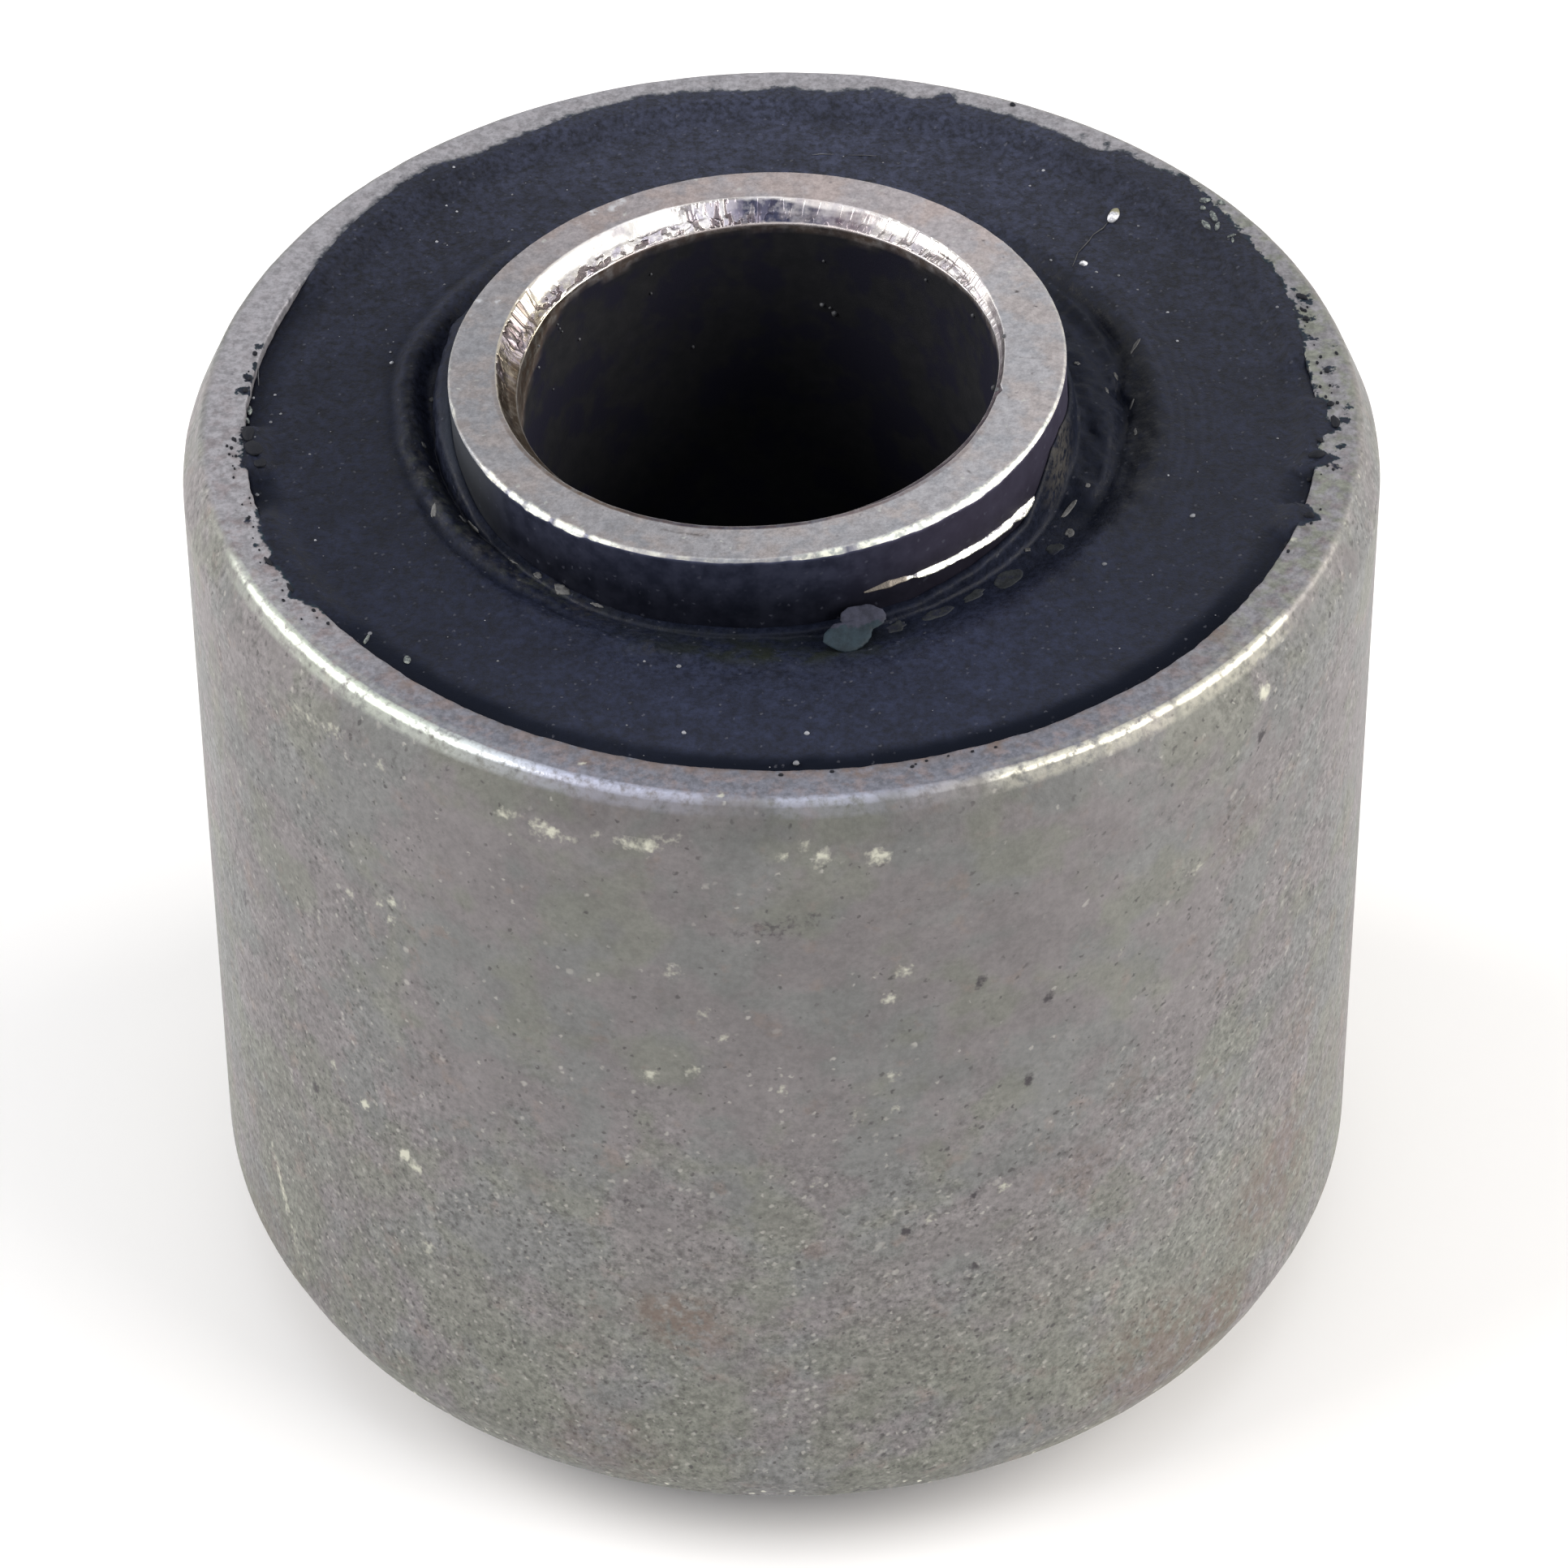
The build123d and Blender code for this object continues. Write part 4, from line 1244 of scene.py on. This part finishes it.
class RubberPlace:
    """Where points, given by x and y, lie among the features of the ring's end."""

    def __init__(self, points):
        flat = points * (1, 1, 0)
        self.radius = np.hypot(points[..., 0], points[..., 1])
        self.degrees = np.degrees(np.arctan2(points[..., 1], points[..., 0])) % 360
        columns = lambda table: (outline(table, self.degrees, column) for column in (1, 2, 3))
        self.floor_edge, self.rim, self.floor = columns(GROOVE)
        middle, wide, high = columns(RIDGE)
        away = self.radius + 0.10 * rough(flat, 1.0, 503) - middle
        self.ridge_high = high
        self.ridge = np.minimum(high / 0.3, 1) * np.exp(-(np.abs(away / wide) ** 3))
        slotted = smooth(148, 166, self.degrees) * (1 - smooth(202, 214, self.degrees))
        self.slot = slotted * np.exp(-(((away + 0.62) / 0.20) ** 2))
        self.inner_slot = hump(self.degrees, 212, 24) * np.exp(-(((away + 0.8 * wide) / 0.34) ** 2))
        self.outer_slot = np.minimum(high / 0.3, 1) * np.exp(-(((away - wide - 0.18) / 0.22) ** 2))
        turned = (self.degrees + 180) % 360 - 180
        torn_away = self.radius - outline(FLASH_EDGE, self.degrees) + 0.07 * rough(flat, 0.5, 507)
        shown = smooth(-24, -12, turned) * (1 - smooth(36, 48, turned))
        self.torn = shown * (1 - smooth(-0.22, 0.06, torn_away))
        opened = 0.25 + 0.75 * np.maximum(hump(self.degrees, 25, 8), hump(self.degrees, 8, 14))
        self.torn_gap = shown * opened * np.exp(-(((torn_away - 0.16) / 0.13) ** 2))


def rubber_height(points, seed=RUBBER_SEEDS[0]):
    """Height of the ring's end face and groove at points given by x and y."""
    points = np.asarray(points, float)
    at = RubberPlace(points)
    flat = points * (1, 1, 0)
    wander = at.radius + 0.08 * rough(flat, 3.0, seed)
    rise = smooth(at.floor_edge - 0.3, at.rim + 0.15, wander)
    height = at.floor + (RUBBER_FACE - at.floor) * rise
    height += at.ridge_high * np.minimum(at.ridge, 1) * (1 + 0.3 * rough(flat, 0.5, seed + 1))
    height -= 0.12 * at.slot + 0.05 * at.outer_slot
    beside = np.exp(-((np.maximum(at.radius - 10.3, 0) / 0.9) ** 2))
    height += 0.45 * beside * hump(at.degrees, 14, 38)
    height += at.torn * (0.20 + 0.16 * rough(flat, 0.6, seed + 3)) - 0.22 * at.torn_gap
    inside = 1 - smooth(12.6, 13.4, at.radius)
    folds = smooth(10.9, 11.5, at.radius) * inside * hump(at.degrees, 2, 52)
    height += 0.09 * folds * rough(flat * (1, 0.5, 1), 0.5, seed + 5)
    height += 0.05 * inside * rough(flat, 0.6, seed + 7)
    height += 0.006 * rough(flat, 1.5, seed + 9)
    return height


def rubber_end_rings(seed):
    """Rings from the sleeve's inside, over the end face and the groove, up to the tube."""
    edge = outline(FILM_EDGE if seed == RUBBER_SEEDS[0] else LOW_FILM_EDGE, DEGREES)
    over = smooth(17.72, 17.98, edge)
    out = np.maximum(edge - 0.12, 17.84)
    dip = 0.22 * (1 - over) * np.maximum(hump(DEGREES, 268, 85), 0.4)
    rings = [
        loop(SLEEVE_INNER_RADIUS + 0.03, 14.8),
        loop(SLEEVE_INNER_RADIUS + 0.03, 15.1),
        loop(17.88, 15.3 + 0.3 * over),
        loop(out, RUBBER_FACE - 0.06 - dip + over * 0.35),
    ]
    for part in (0.0, 0.12, 0.24, 0.36, 0.48, 0.6, 0.7, 0.8, 0.9, 1.0):
        radius = out - 0.02 + part * (FACE_INSIDE - out)
        rise = over * smooth(16.75, 17.62, radius)
        high = SLEEVE_END + 0.006 - 0.014 * smooth(0.3, 0.0, out - radius)
        sink = dip * smooth(17.0, 17.65, radius)
        bump = 0.005 * rough(loop(radius, 0), 1.6, seed + 21)
        bump = bump + 0.003 * rough(loop(radius, 4), 0.5, seed + 23)
        high = RUBBER_FACE - sink + rise * (high - RUBBER_FACE) + bump * (1 - 0.85 * rise)
        rings.append(loop(radius, high))
    for radius in np.linspace(FACE_INSIDE - 0.4, GROOVE_OUTSIDE, 8):
        ring = loop(radius, 0)
        ring[:, 2] = rubber_height(ring, seed)
        rings.append(ring)
    collar_top = outline(COLLAR, DEGREES) + 0.10 * rough(loop(TUBE_RADIUS, 0), 1.6, seed + 31)
    uneven = 1 + 0.15 * rough(loop(TUBE_RADIUS, 5), 1.2, seed + 33)
    collar_wide = outline(COLLAR, DEGREES, 2) * uneven
    foot = lean(loop(TUBE_RADIUS + collar_wide + 0.10, 15.0))
    foot_radius = np.hypot(foot[:, 0], foot[:, 1])
    foot_angle = np.arctan2(foot[:, 1], foot[:, 0])
    for part in np.linspace(0, 1, 32)[1:]:
        radius = GROOVE_OUTSIDE + part * (foot_radius - GROOVE_OUTSIDE)
        angle = AROUND + part * ((foot_angle - AROUND + math.pi) % (2 * math.pi) - math.pi)
        ring = np.stack([radius * np.cos(angle), radius * np.sin(angle), 0 * angle], axis=1)
        ring[:, 2] = rubber_height(ring, seed)
        rings.append(ring)
    low = -math.sin(math.radians(TUBE_LEAN)) * rings[-1][:, 0] + rings[-1][:, 2]
    collar_top = np.maximum(collar_top, low + 0.05)
    for part, out in COLLAR_SECTION:
        place = loop(TUBE_RADIUS + 0.04 + collar_wide * out, low + part * (collar_top - low))
        ragged = 0.04 * rough(place, 0.5, seed + 35)[:, None]
        place += ragged * place * (1, 1, 0) / TUBE_RADIUS * (part < 1)
        rings.append(lean(place))
    rings.append(lean(loop(TUBE_RADIUS - 0.05, collar_top)))
    rings.append(lean(loop(TUBE_RADIUS - 0.05, 14.0)))
    return np.stack(rings)


def make_rubber():
    """The ring's skin, with the dirt, dust and shade of its groove and edge as values."""
    top, low = (rubber_end_rings(seed) for seed in RUBBER_SEEDS)
    rings = np.concatenate([top, other_end(low)])
    at = RubberPlace(rings)
    radius, degrees, height = at.radius, at.degrees, rings[..., 2]
    flat = rings * (1, 1, 0)
    # Painted shade, near black, in the groove by the tube, the slots, the torn gaps, the pit and
    # along the front rim.
    near = 1 - smooth(at.floor_edge - 0.35, at.rim + 0.05, radius)
    right = hump(degrees, 10, 62)
    deep = near * (0.35 + 0.30 * hump(degrees, 275, 75) + 0.34 * right)
    deep = np.maximum(deep * (1 - 0.9 * np.minimum(at.ridge, 1)), 0)
    deep = np.maximum(deep, 0.2 * at.slot * (height < 15.9))
    deep = np.maximum(deep, 0.9 * at.inner_slot)
    deep = np.maximum(deep, np.maximum(0.45 * at.outer_slot, 0.85 * at.torn_gap))
    pit = hump(degrees, 338, 11) * (1 - smooth(11.2, 11.8, radius))
    pit = pit * (1 - smooth(15.5, 16.0, height))
    deep = np.maximum(deep, 0.9 * pit)
    bare_rim = 1 - smooth(17.72, 17.98, outline(FILM_EDGE, degrees))
    front_rim = smooth(186, 200, degrees) * (1 - smooth(322, 340, degrees))
    band = smooth(16.55, 17.2, radius + 0.12 * rough(flat, 0.9, 511))
    deep = np.maximum(deep, bare_rim * band * (0.45 + 0.55 * front_rim))
    blotch = smooth(-0.25, 0.5, rough(rings, 0.7, 509))
    dusty = at.ridge * smooth(172, 192, degrees) * (0.65 + 0.35 * blotch)
    front = 0.35 * blotch * hump(degrees, 250, 40) * (height < 15.9)
    dusty = np.maximum(dusty, front * (1 - smooth(at.rim, at.rim + 0.7, radius)))
    dusty = np.maximum(dusty, 0.09 * blotch * right * (1 - smooth(11.0, 12.4, radius)))
    smear = hump(degrees, 341, 13) * smooth(15.3, 15.8, height) * (1 - smooth(10.4, 10.9, radius))
    ringed = 0.6 * right * smooth(12.4, 12.9, radius) * (1 - smooth(13.4, 15.2, radius))
    # Painted shade in the groove by the tube on the right.
    olive = right * (1 - smooth(12.2, 13.2, radius)) * (1 - smooth(0.3, 0.8, deep))
    bloom = hump(degrees, 184, 26) * (1 - smooth(11.0, 11.5, radius)) * smooth(15.5, 15.9, height)
    brim = hump(degrees, 268, 36) * (1 - smooth(11.9, 12.7, radius)) * smooth(10.45, 10.8, radius)
    upper = smooth(0, 1, height)
    rubber = ring_skin(
        "rubber_body", rings, RUBBER, deep=np.clip(deep, 0, 1), dusty=dusty * upper,
        ringed=ringed * upper, olive=olive * upper, smear=smear * upper, brim=brim * upper,
        bloom=bloom * upper,
    )
    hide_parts("rubber_ring")
    return rubber


# Pieces of torn skin in the groove: angle, radius, height, length round the axis, width, turn.
FLAKES = (
    (290.0, 10.7, 15.3, 0.8, 0.5, 20), (298.0, 10.7, 15.3, 1.3, 0.5, 5),
    (306.0, 10.55, 15.3, 0.9, 0.4, 8), (313.7, 10.65, 15.3, 1.2, 0.8, 10),
    (325.2, 10.85, 15.3, 0.8, 0.6, 30),
)
# The two lobes of the torn flap that bridges the groove from the tube's foot: angle, radius, length
# round the axis, width, turn. Its height at the radius of 11, and how fast it falls outwards.
FLAP = ((284, 10.72, 1.55, 1, -10), (280.9, 11.28, 1.6, 1.15, 14))
FLAP_HEIGHT, FLAP_FALL = 15.86, 0.32
# Pale bits on the flash and in the folds: angle, radius, height, length, width, turn.
FOLD_BITS = (
    (17.0, 10.4, 15.6, 0.24, 0.16, 40), (14.3, 11.65, 15.2, 0.34, 0.2, 10),
    (9.7, 11.05, 15.4, 0.26, 0.16, 0), (6.6, 11.8, 15.2, 0.42, 0.12, -35),
    (18.5, 12.6, 15.6, 0.75, 0.13, -50), (359.5, 11.8, 15.2, 0.36, 0.12, 0),
    (343.6, 10.55, 15.3, 0.2, 0.18, 0), (337.0, 10.25, 15.2, 1.1, 0.2, -8),
    (330.8, 10.8, 15.2, 0.5, 0.3, 30), (322.3, 10.15, 15.3, 0.22, 0.2, 0),
    (170.2, 11.9, 15.0, 0.22, 0.18, 0), (184.3, 11.9, 15.5, 0.26, 0.24, 0),
    (189.9, 11.75, 15.4, 0.3, 0.22, 20), (201.5, 12.25, 15.6, 0.6, 0.24, -30),
    (203.4, 11.45, 15.3, 0.4, 0.22, 20), (205.4, 11.25, 15.2, 0.85, 0.24, 12),
    (223.3, 10.95, 15.4, 0.3, 0.26, 0), (217.3, 11.05, 15.3, 0.85, 0.09, 15),
    (228.9, 10.9, 15.5, 0.6, 0.4, 0), (236.0, 10.75, 15.5, 0.5, 0.16, 5),
)
# Crumbs of rubber on the steel: angle, radius, length round the axis, width, height, turn.
CRUMBS = (
    (19.0, 18.7, 0.45, 0.22, 0.16, 35), (15.4, 18.4, 0.22, 0.18, 0.14, 0),
    (9.2, 18.9, 0.18, 0.12, 0.1, 20), (6.5, 18.4, 0.3, 0.16, 0.12, 0),
    (0.9, 18.3, 0.22, 0.22, 0.16, 0), (357.9, 18.4, 0.6, 0.28, 0.2, 10),
    (354.8, 17.9, 0.24, 0.2, 0.15, 0), (352.3, 17.85, 0.34, 0.55, 0.22, 30),
    (349.2, 17.7, 0.22, 0.18, 0.14, 0), (342.2, 18.1, 0.26, 0.4, 0.2, 10),
    (338.0, 17.75, 0.2, 0.16, 0.14, 0), (169.0, 18.0, 0.2, 0.18, 0.14, 0),
    (173.3, 17.9, 0.16, 0.14, 0.1, 0), (175.3, 17.95, 0.22, 0.16, 0.12, 0),
    (182.8, 17.7, 0.7, 0.4, 0.22, 0), (185.3, 17.55, 0.8, 0.55, 0.24, 20),
    (187.8, 17.4, 0.45, 0.4, 0.2, 0), (204.0, 18.3, 0.5, 0.14, 0.1, 6),
    (208.8, 18.2, 0.5, 0.14, 0.1, 0), (64.5, 19.0, 0.2, 0.18, 0.12, 0),
)
# Pale chips of dust: angle, radius, size.
SPECKS = (
    (131.7, 18.4, 0.11), (129.3, 17.8, 0.11), (133.7, 16.1, 0.09), (139.8, 15.4, 0.11),
    (133.1, 13.6, 0.1), (126.3, 15.6, 0.08), (163.6, 13.7, 0.1), (133.8, 16.6, 0.08),
    (132.5, 17.7, 0.08), (56.3, 16.5, 0.12), (56.0, 15.5, 0.09), (40.5, 16.2, 0.09),
    (33.9, 13.9, 0.1), (36.4, 13.4, 0.11), (29.8, 14.0, 0.09), (165.8, 13.5, 0.15),
    (271.3, 17.2, 0.2), (218.9, 17.1, 0.18), (23.5, 14.3, 0.1), (17.2, 14.0, 0.1),
    (43.2, 12.7, 0.1), (34.1, 12.8, 0.08), (46.4, 13.6, 0.06), (339.2, 14.4, 0.19),
    (324.3, 12.9, 0.17), (346.8, 13.1, 0.09), (255.0, 12.9, 0.17), (272.7, 15.8, 0.18),
    (252.0, 16.1, 0.07), (258.6, 16.0, 0.15), (146.5, 13.7, 0.08), (131.0, 14.0, 0.08),
    (250.0, 13.0, 0.09), (233.0, 15.2, 0.09), (18.3, 17.7, 0.12), (17.0, 17.2, 0.1),
    (14.1, 17.1, 0.1), (3.1, 17.3, 0.1), (355.5, 17.1, 0.1), (356.1, 16.5, 0.09),
    (178.0, 16.7, 0.1), (179.5, 17.0, 0.12), (182.0, 17.0, 0.1), (188.8, 17.1, 0.12),
    (198.8, 17.2, 0.1), (201.5, 16.4, 0.09), (185.7, 15.7, 0.09), (174.6, 17.0, 0.1),
    (191.9, 17.65, 0.14), (175.3, 17.7, 0.1), (81.3, 14.8, 0.06), (75.8, 14.7, 0.07),
    (185.0, 17.9, 0.1), (183.2, 17.5, 0.09),
)
# Lint and pale smears: angle and radius of points along each, and its width.
LINT = (
    (((170.3, 17.8), (171.7, 17.72), (173.2, 17.62)), 0.05),
    (((85.5, 14.75), (84.4, 14.82), (82.6, 14.84)), 0.035),
    (((80.6, 14.88), (78.6, 14.95), (77.0, 15.0)), 0.035),
)
# The dark hair by the white shaving: angle and radius of points along it.
HAIR_PATH = (
    (43.9, 15.9), (43.1, 15.2), (43.0, 14.7), (42.5, 14.4), (42.0, 14.0), (41.5, 13.6),
    (40.6, 13.3), (39.6, 12.95),
)
# Pale scraps: angle, radius, size along x, size along y, turn.
SCRAPS = (
    (38.2, 18.65, 0.42, 0.26, 10), (36.9, 19.0, 0.34, 0.2, -40), (37.3, 18.3, 0.2, 0.24, 0),
    (35.5, 18.3, 0.2, 0.6, 15), (34.8, 17.8, 0.2, 0.55, 25), (33.8, 18.05, 0.16, 0.5, -15),
    (31.6, 18.15, 0.34, 0.1, 25), (30.9, 18.05, 0.1, 0.26, 0), (177.6, 17.75, 0.16, 0.4, 0),
    (179.2, 17.8, 0.14, 0.34, 20), (225.0, 17.05, 0.26, 0.42, 0), (219.5, 17.35, 0.14, 0.45, -20),
)
# Dust on the wall of the bore, in the tube's frame: angle, height, size.
BORE_DUST = (
    (148.0, 16.85, 0.1), (147.3, 16.6, 0.09), (146.5, 16.4, 0.08), (157.6, 16.9, 0.11),
    (158.7, 16.1, 0.1), (140.3, 15.5, 0.1), (152.4, 14.5, 0.09), (107.8, 13.0, 0.12),
    (117.3, 16.6, 0.09), (117.7, 15.8, 0.1), (73.0, 14.4, 0.12), (74.0, 16.4, 0.1),
    (25.4, 17.1, 0.16), (11.8, 15.4, 0.22), (72.0, 14.2, 0.22), (75.0, 14.5, 0.16),
    (44.7, 17.0, 0.12),
)
# Chips on the mouth's edge: angle, radius, size.
LIP_CHIPS = ((345.6, 8.15, 0.22), (5.6, 8.25, 0.18))


def on_bush(degrees, radius):
    """A point on the rubber's end or the sleeve's flat end."""
    spot = polar(degrees, radius, 0)
    edge = float(outline(FILM_EDGE, degrees))
    spot[2] = SLEEVE_END if radius > 17.8 else float(rubber_height(spot))
    if 16.9 < radius <= 17.8 and edge > 17.9:
        spot[2] += (SLEEVE_END - spot[2]) * float(smooth(16.9, 17.6, radius))
    return spot


def make_crumbs(chance):
    """The larger crumbs of moulding rubber, and a scatter of small ones beside the film."""
    crumbs = []
    for number, (degrees, radius, length, width, height, turn) in enumerate(CRUMBS):
        spot = on_bush(degrees, radius) + (0, 0, 0.15 * height)
        shape = (width, length, height)
        crumbs.append(lump(spot, shape, 760 + number, turn=degrees + turn, around=18))
    for number in range(SMALL_CRUMBS):
        degrees = chance.choice((187, 200, 212, 345, 0, 14, 280)) + chance.normal(0, 7)
        size = chance.uniform(0.05, 0.13)
        radius = float(outline(FILM_EDGE, degrees)) + abs(chance.normal(0, 0.3)) + 0.1
        if 17.95 < radius < 18.7:
            spot = polar(degrees, radius, SLEEVE_END)
            shape = (size, size * 1.4, size)
            crumbs.append(lump(spot, shape, 800 + number, turn=degrees, around=8))
    join_parts("rubber_crumbs", crumbs, CRUMB)


def make_dust(chance):
    """Pale chips on the rubber and in the bore."""
    specks = [
        lump(on_bush(degrees, radius), (size, size, 0.6 * size), 900 + number, around=10)
        for number, (degrees, radius, size) in enumerate(SPECKS)
    ]
    for number in range(SMALL_SPECKS):
        degrees, radius = chance.uniform(0, 360), math.sqrt(chance.uniform(13.2**2, 17.6**2))
        size = chance.uniform(0.02, 0.06)
        shape = (size, size, 0.5 * size)
        specks.append(lump(on_bush(degrees, radius), shape, 950 + number, around=6))
    join_parts("dust", specks, DUST)
    shavings = [
        lump(SHAVING_PLACE, (0.34, 0.78, 0.26), 971, turn=-16, around=18),
        lump(on_bush(39.1, 13.35), (0.28, 0.26, 0.18), 973, around=12),
    ]
    join_parts("shavings", shavings, SHAVING)
    inside = []
    for number, (degrees, height, size) in enumerate(BORE_DUST):
        spot = lean(polar(degrees, BORE_RADIUS - 0.02, height))
        inside.append(lump(spot, (size, size, size), 930 + number, around=8))
    for degrees, radius, size in LIP_CHIPS:
        spot, shape = lean(polar(degrees, radius, TUBE_END)), (size, 0.6 * size, 0.5 * size)
        inside.append(lump(spot, shape, 940, turn=60, around=10))
    join_parts("bore_dust", inside, FAINT_DUST)


def make_flap():
    """The flap's lobes, on a slope that falls outwards from the tube."""

    def on_slope(spots):
        spots = np.array(spots, float)
        reach = np.hypot(spots[:, 0], spots[:, 1])
        out = spots * (1, 1, 0) / reach[:, None]
        spots[:, 2] = FLAP_HEIGHT - FLAP_FALL * (reach - 11) + 0.04 * rough(out * 11, 0.6, 719)
        return spots, (out * FLAP_FALL + (0, 0, 1)) / math.hypot(FLAP_FALL, 1)

    lobes = []
    for number, (degrees, radius, length, width, turn) in enumerate(FLAP):
        spot, lift = (degrees, radius, FLAP_HEIGHT), 0.02 + 0.02 * number
        lobes.append(plate(on_slope, spot, length, width, turn, lift, 717 + number, around=40))
    return lobes


def make_small_pieces(rubber):
    """Torn skin, crumbs, dust and lint."""
    settle = skin_of(rubber)
    join_parts("flash_flap", make_flap(), FLAKE)
    thin = ("flash_flakes", FLAKES, 0.02, FLAKE), ("fold_bits", FOLD_BITS, 0.03, BITS)
    for name, table, lift, material in thin:
        plates = []
        for number, (degrees, radius, height, length, width, turn) in enumerate(table):
            spot = (degrees, radius, height)
            plates.append(plate(settle, spot, length, width, turn, lift, 700 + number, around=32))
        join_parts(name, plates, material)
    chance = np.random.default_rng(11)
    make_crumbs(chance)
    make_dust(chance)
    on_path = lambda path: [on_bush(degrees, radius) + (0, 0, 0.02) for degrees, radius in path]
    threads = []
    for number, (path, width) in enumerate(LINT):
        threads.append(strand(on_path(path), width, 990 + number))
    join_parts("lint", threads, FAINT_DUST)
    join_parts("hair", [strand(on_path(HAIR_PATH), 0.045, 980)], HAIR)
    scraps = []
    for number, (degrees, radius, x_size, y_size, turn) in enumerate(SCRAPS):
        spot = on_bush(degrees, radius) + (0, 0, 0.02)
        scraps.append(lump(spot, (x_size, y_size, 0.12), 1000 + number, turn=turn, around=16))
    join_parts("lint_scraps", scraps, LINT_SCRAPS)


make_sleeve()
make_tube()
make_bead()
make_small_pieces(make_rubber())

# ---------------------------------------------------------------- floor, lights, camera

FLOOR_HALF = 3000.0
FLOOR_COLOUR, FLOOR_ROUGHNESS = (0.97, 0.97, 0.97), 0.9
WORLD_COLOUR, WORLD_STRENGTH = (0.95, 0.97, 1.0), 0.25
LAMP_DISTANCE = 600.0
# Lamps: name, azimuth, elevation, width, height, brightness, colour.
LAMPS = (
    ("right_box", -8, 30, 780, 300, 7.15, (1.0, 0.955, 0.905)),
    ("left_box", 182, 31, 620, 280, 7.9, (1.0, 0.97, 0.94)),
    ("top_box", 270, 85, 480, 420, 1.1, (0.87, 0.91, 1.0)),
)
CAMERA_EYE = (0.0, -191.74, 170.12)
LOOK_DOWN = 41.66
CAMERA_ROLL = -0.4456
CAMERA_LENS = 169.57
SENSOR_WIDTH = 36.0


def make_floor():
    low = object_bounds()[0][2]
    sides = ((-1, -1), (1, -1), (1, 1), (-1, 1))
    corners = [(x * FLOOR_HALF * MM, y * FLOOR_HALF * MM, low) for x, y in sides]
    mesh = bpy.data.meshes.new("floor")
    mesh.from_pydata(corners, [], [(0, 1, 2, 3)])
    s = Surface("floor_white")
    s.shader.inputs["Base Color"].default_value = rgb(*FLOOR_COLOUR)
    s.shader.inputs["Roughness"].default_value = FLOOR_ROUGHNESS
    mesh.materials.append(s.material)
    floor = add_object("floor", mesh)


def place_matrix(place, *turns):
    """A matrix for a place in metres, after turns of (degrees, axis), the last one made first."""
    matrix = Matrix.Translation(place)
    for degrees, axis in turns:
        matrix = matrix @ Matrix.Rotation(math.radians(degrees), 4, axis)
    return matrix


def softbox(name, azimuth, elevation, width, height, brightness, colour):
    """An area lamp at LAMP_DISTANCE from the bush, facing it."""
    lamp = bpy.data.lights.new(name, "AREA")
    lamp.shape = "RECTANGLE"
    lamp.size, lamp.size_y = width * MM, height * MM
    lamp.energy = brightness * math.pi * width * height * MM * MM
    lamp.color = colour
    out, up = math.cos(math.radians(elevation)), math.sin(math.radians(elevation))
    place = polar(azimuth, LAMP_DISTANCE * out, LAMP_DISTANCE * up) * MM
    turns = (azimuth + 90, "Z"), (90 - elevation, "X")
    add_object(name, lamp).matrix_world = place_matrix(place.tolist(), *turns)


def make_world():
    """Dim soft light all round, which looks plain white to the camera and in reflections."""
    world = bpy.data.worlds.new("studio")
    bpy.context.scene.world = world
    world.use_nodes = True
    tree = world.node_tree
    tree.nodes.clear()
    soft = add_node(tree, "ShaderNodeBackground", {0: rgb(*WORLD_COLOUR), 1: WORLD_STRENGTH})
    white = add_node(tree, "ShaderNodeBackground", {0: rgb(1, 1, 1), 1: 1.0})
    rays = add_node(tree, "ShaderNodeLightPath").outputs
    seen = rays["Is Camera Ray"]
    for ray in ("Is Glossy Ray", "Is Transmission Ray"):
        either = add_node(tree, "ShaderNodeMath", {0: seen, 1: rays[ray]}, operation="MAXIMUM")
        seen = either.outputs[0]
    mix = add_node(tree, "ShaderNodeMixShader", {0: seen, 1: soft.outputs[0], 2: white.outputs[0]})
    add_node(tree, "ShaderNodeOutputWorld", {0: mix.outputs[0]})


def make_camera():
    camera = add_object("camera", bpy.data.cameras.new("camera"))
    camera.data.lens = CAMERA_LENS
    camera.data.sensor_width = SENSOR_WIDTH
    place = [value * MM for value in CAMERA_EYE]
    camera.matrix_world = place_matrix(place, (90 - LOOK_DOWN, "X"), (CAMERA_ROLL, "Z"))
    bpy.context.scene.camera = camera


make_floor()
for lamp_row in LAMPS:
    softbox(*lamp_row)
make_world()
make_camera()
bpy.context.scene.view_settings.view_transform = "Standard"
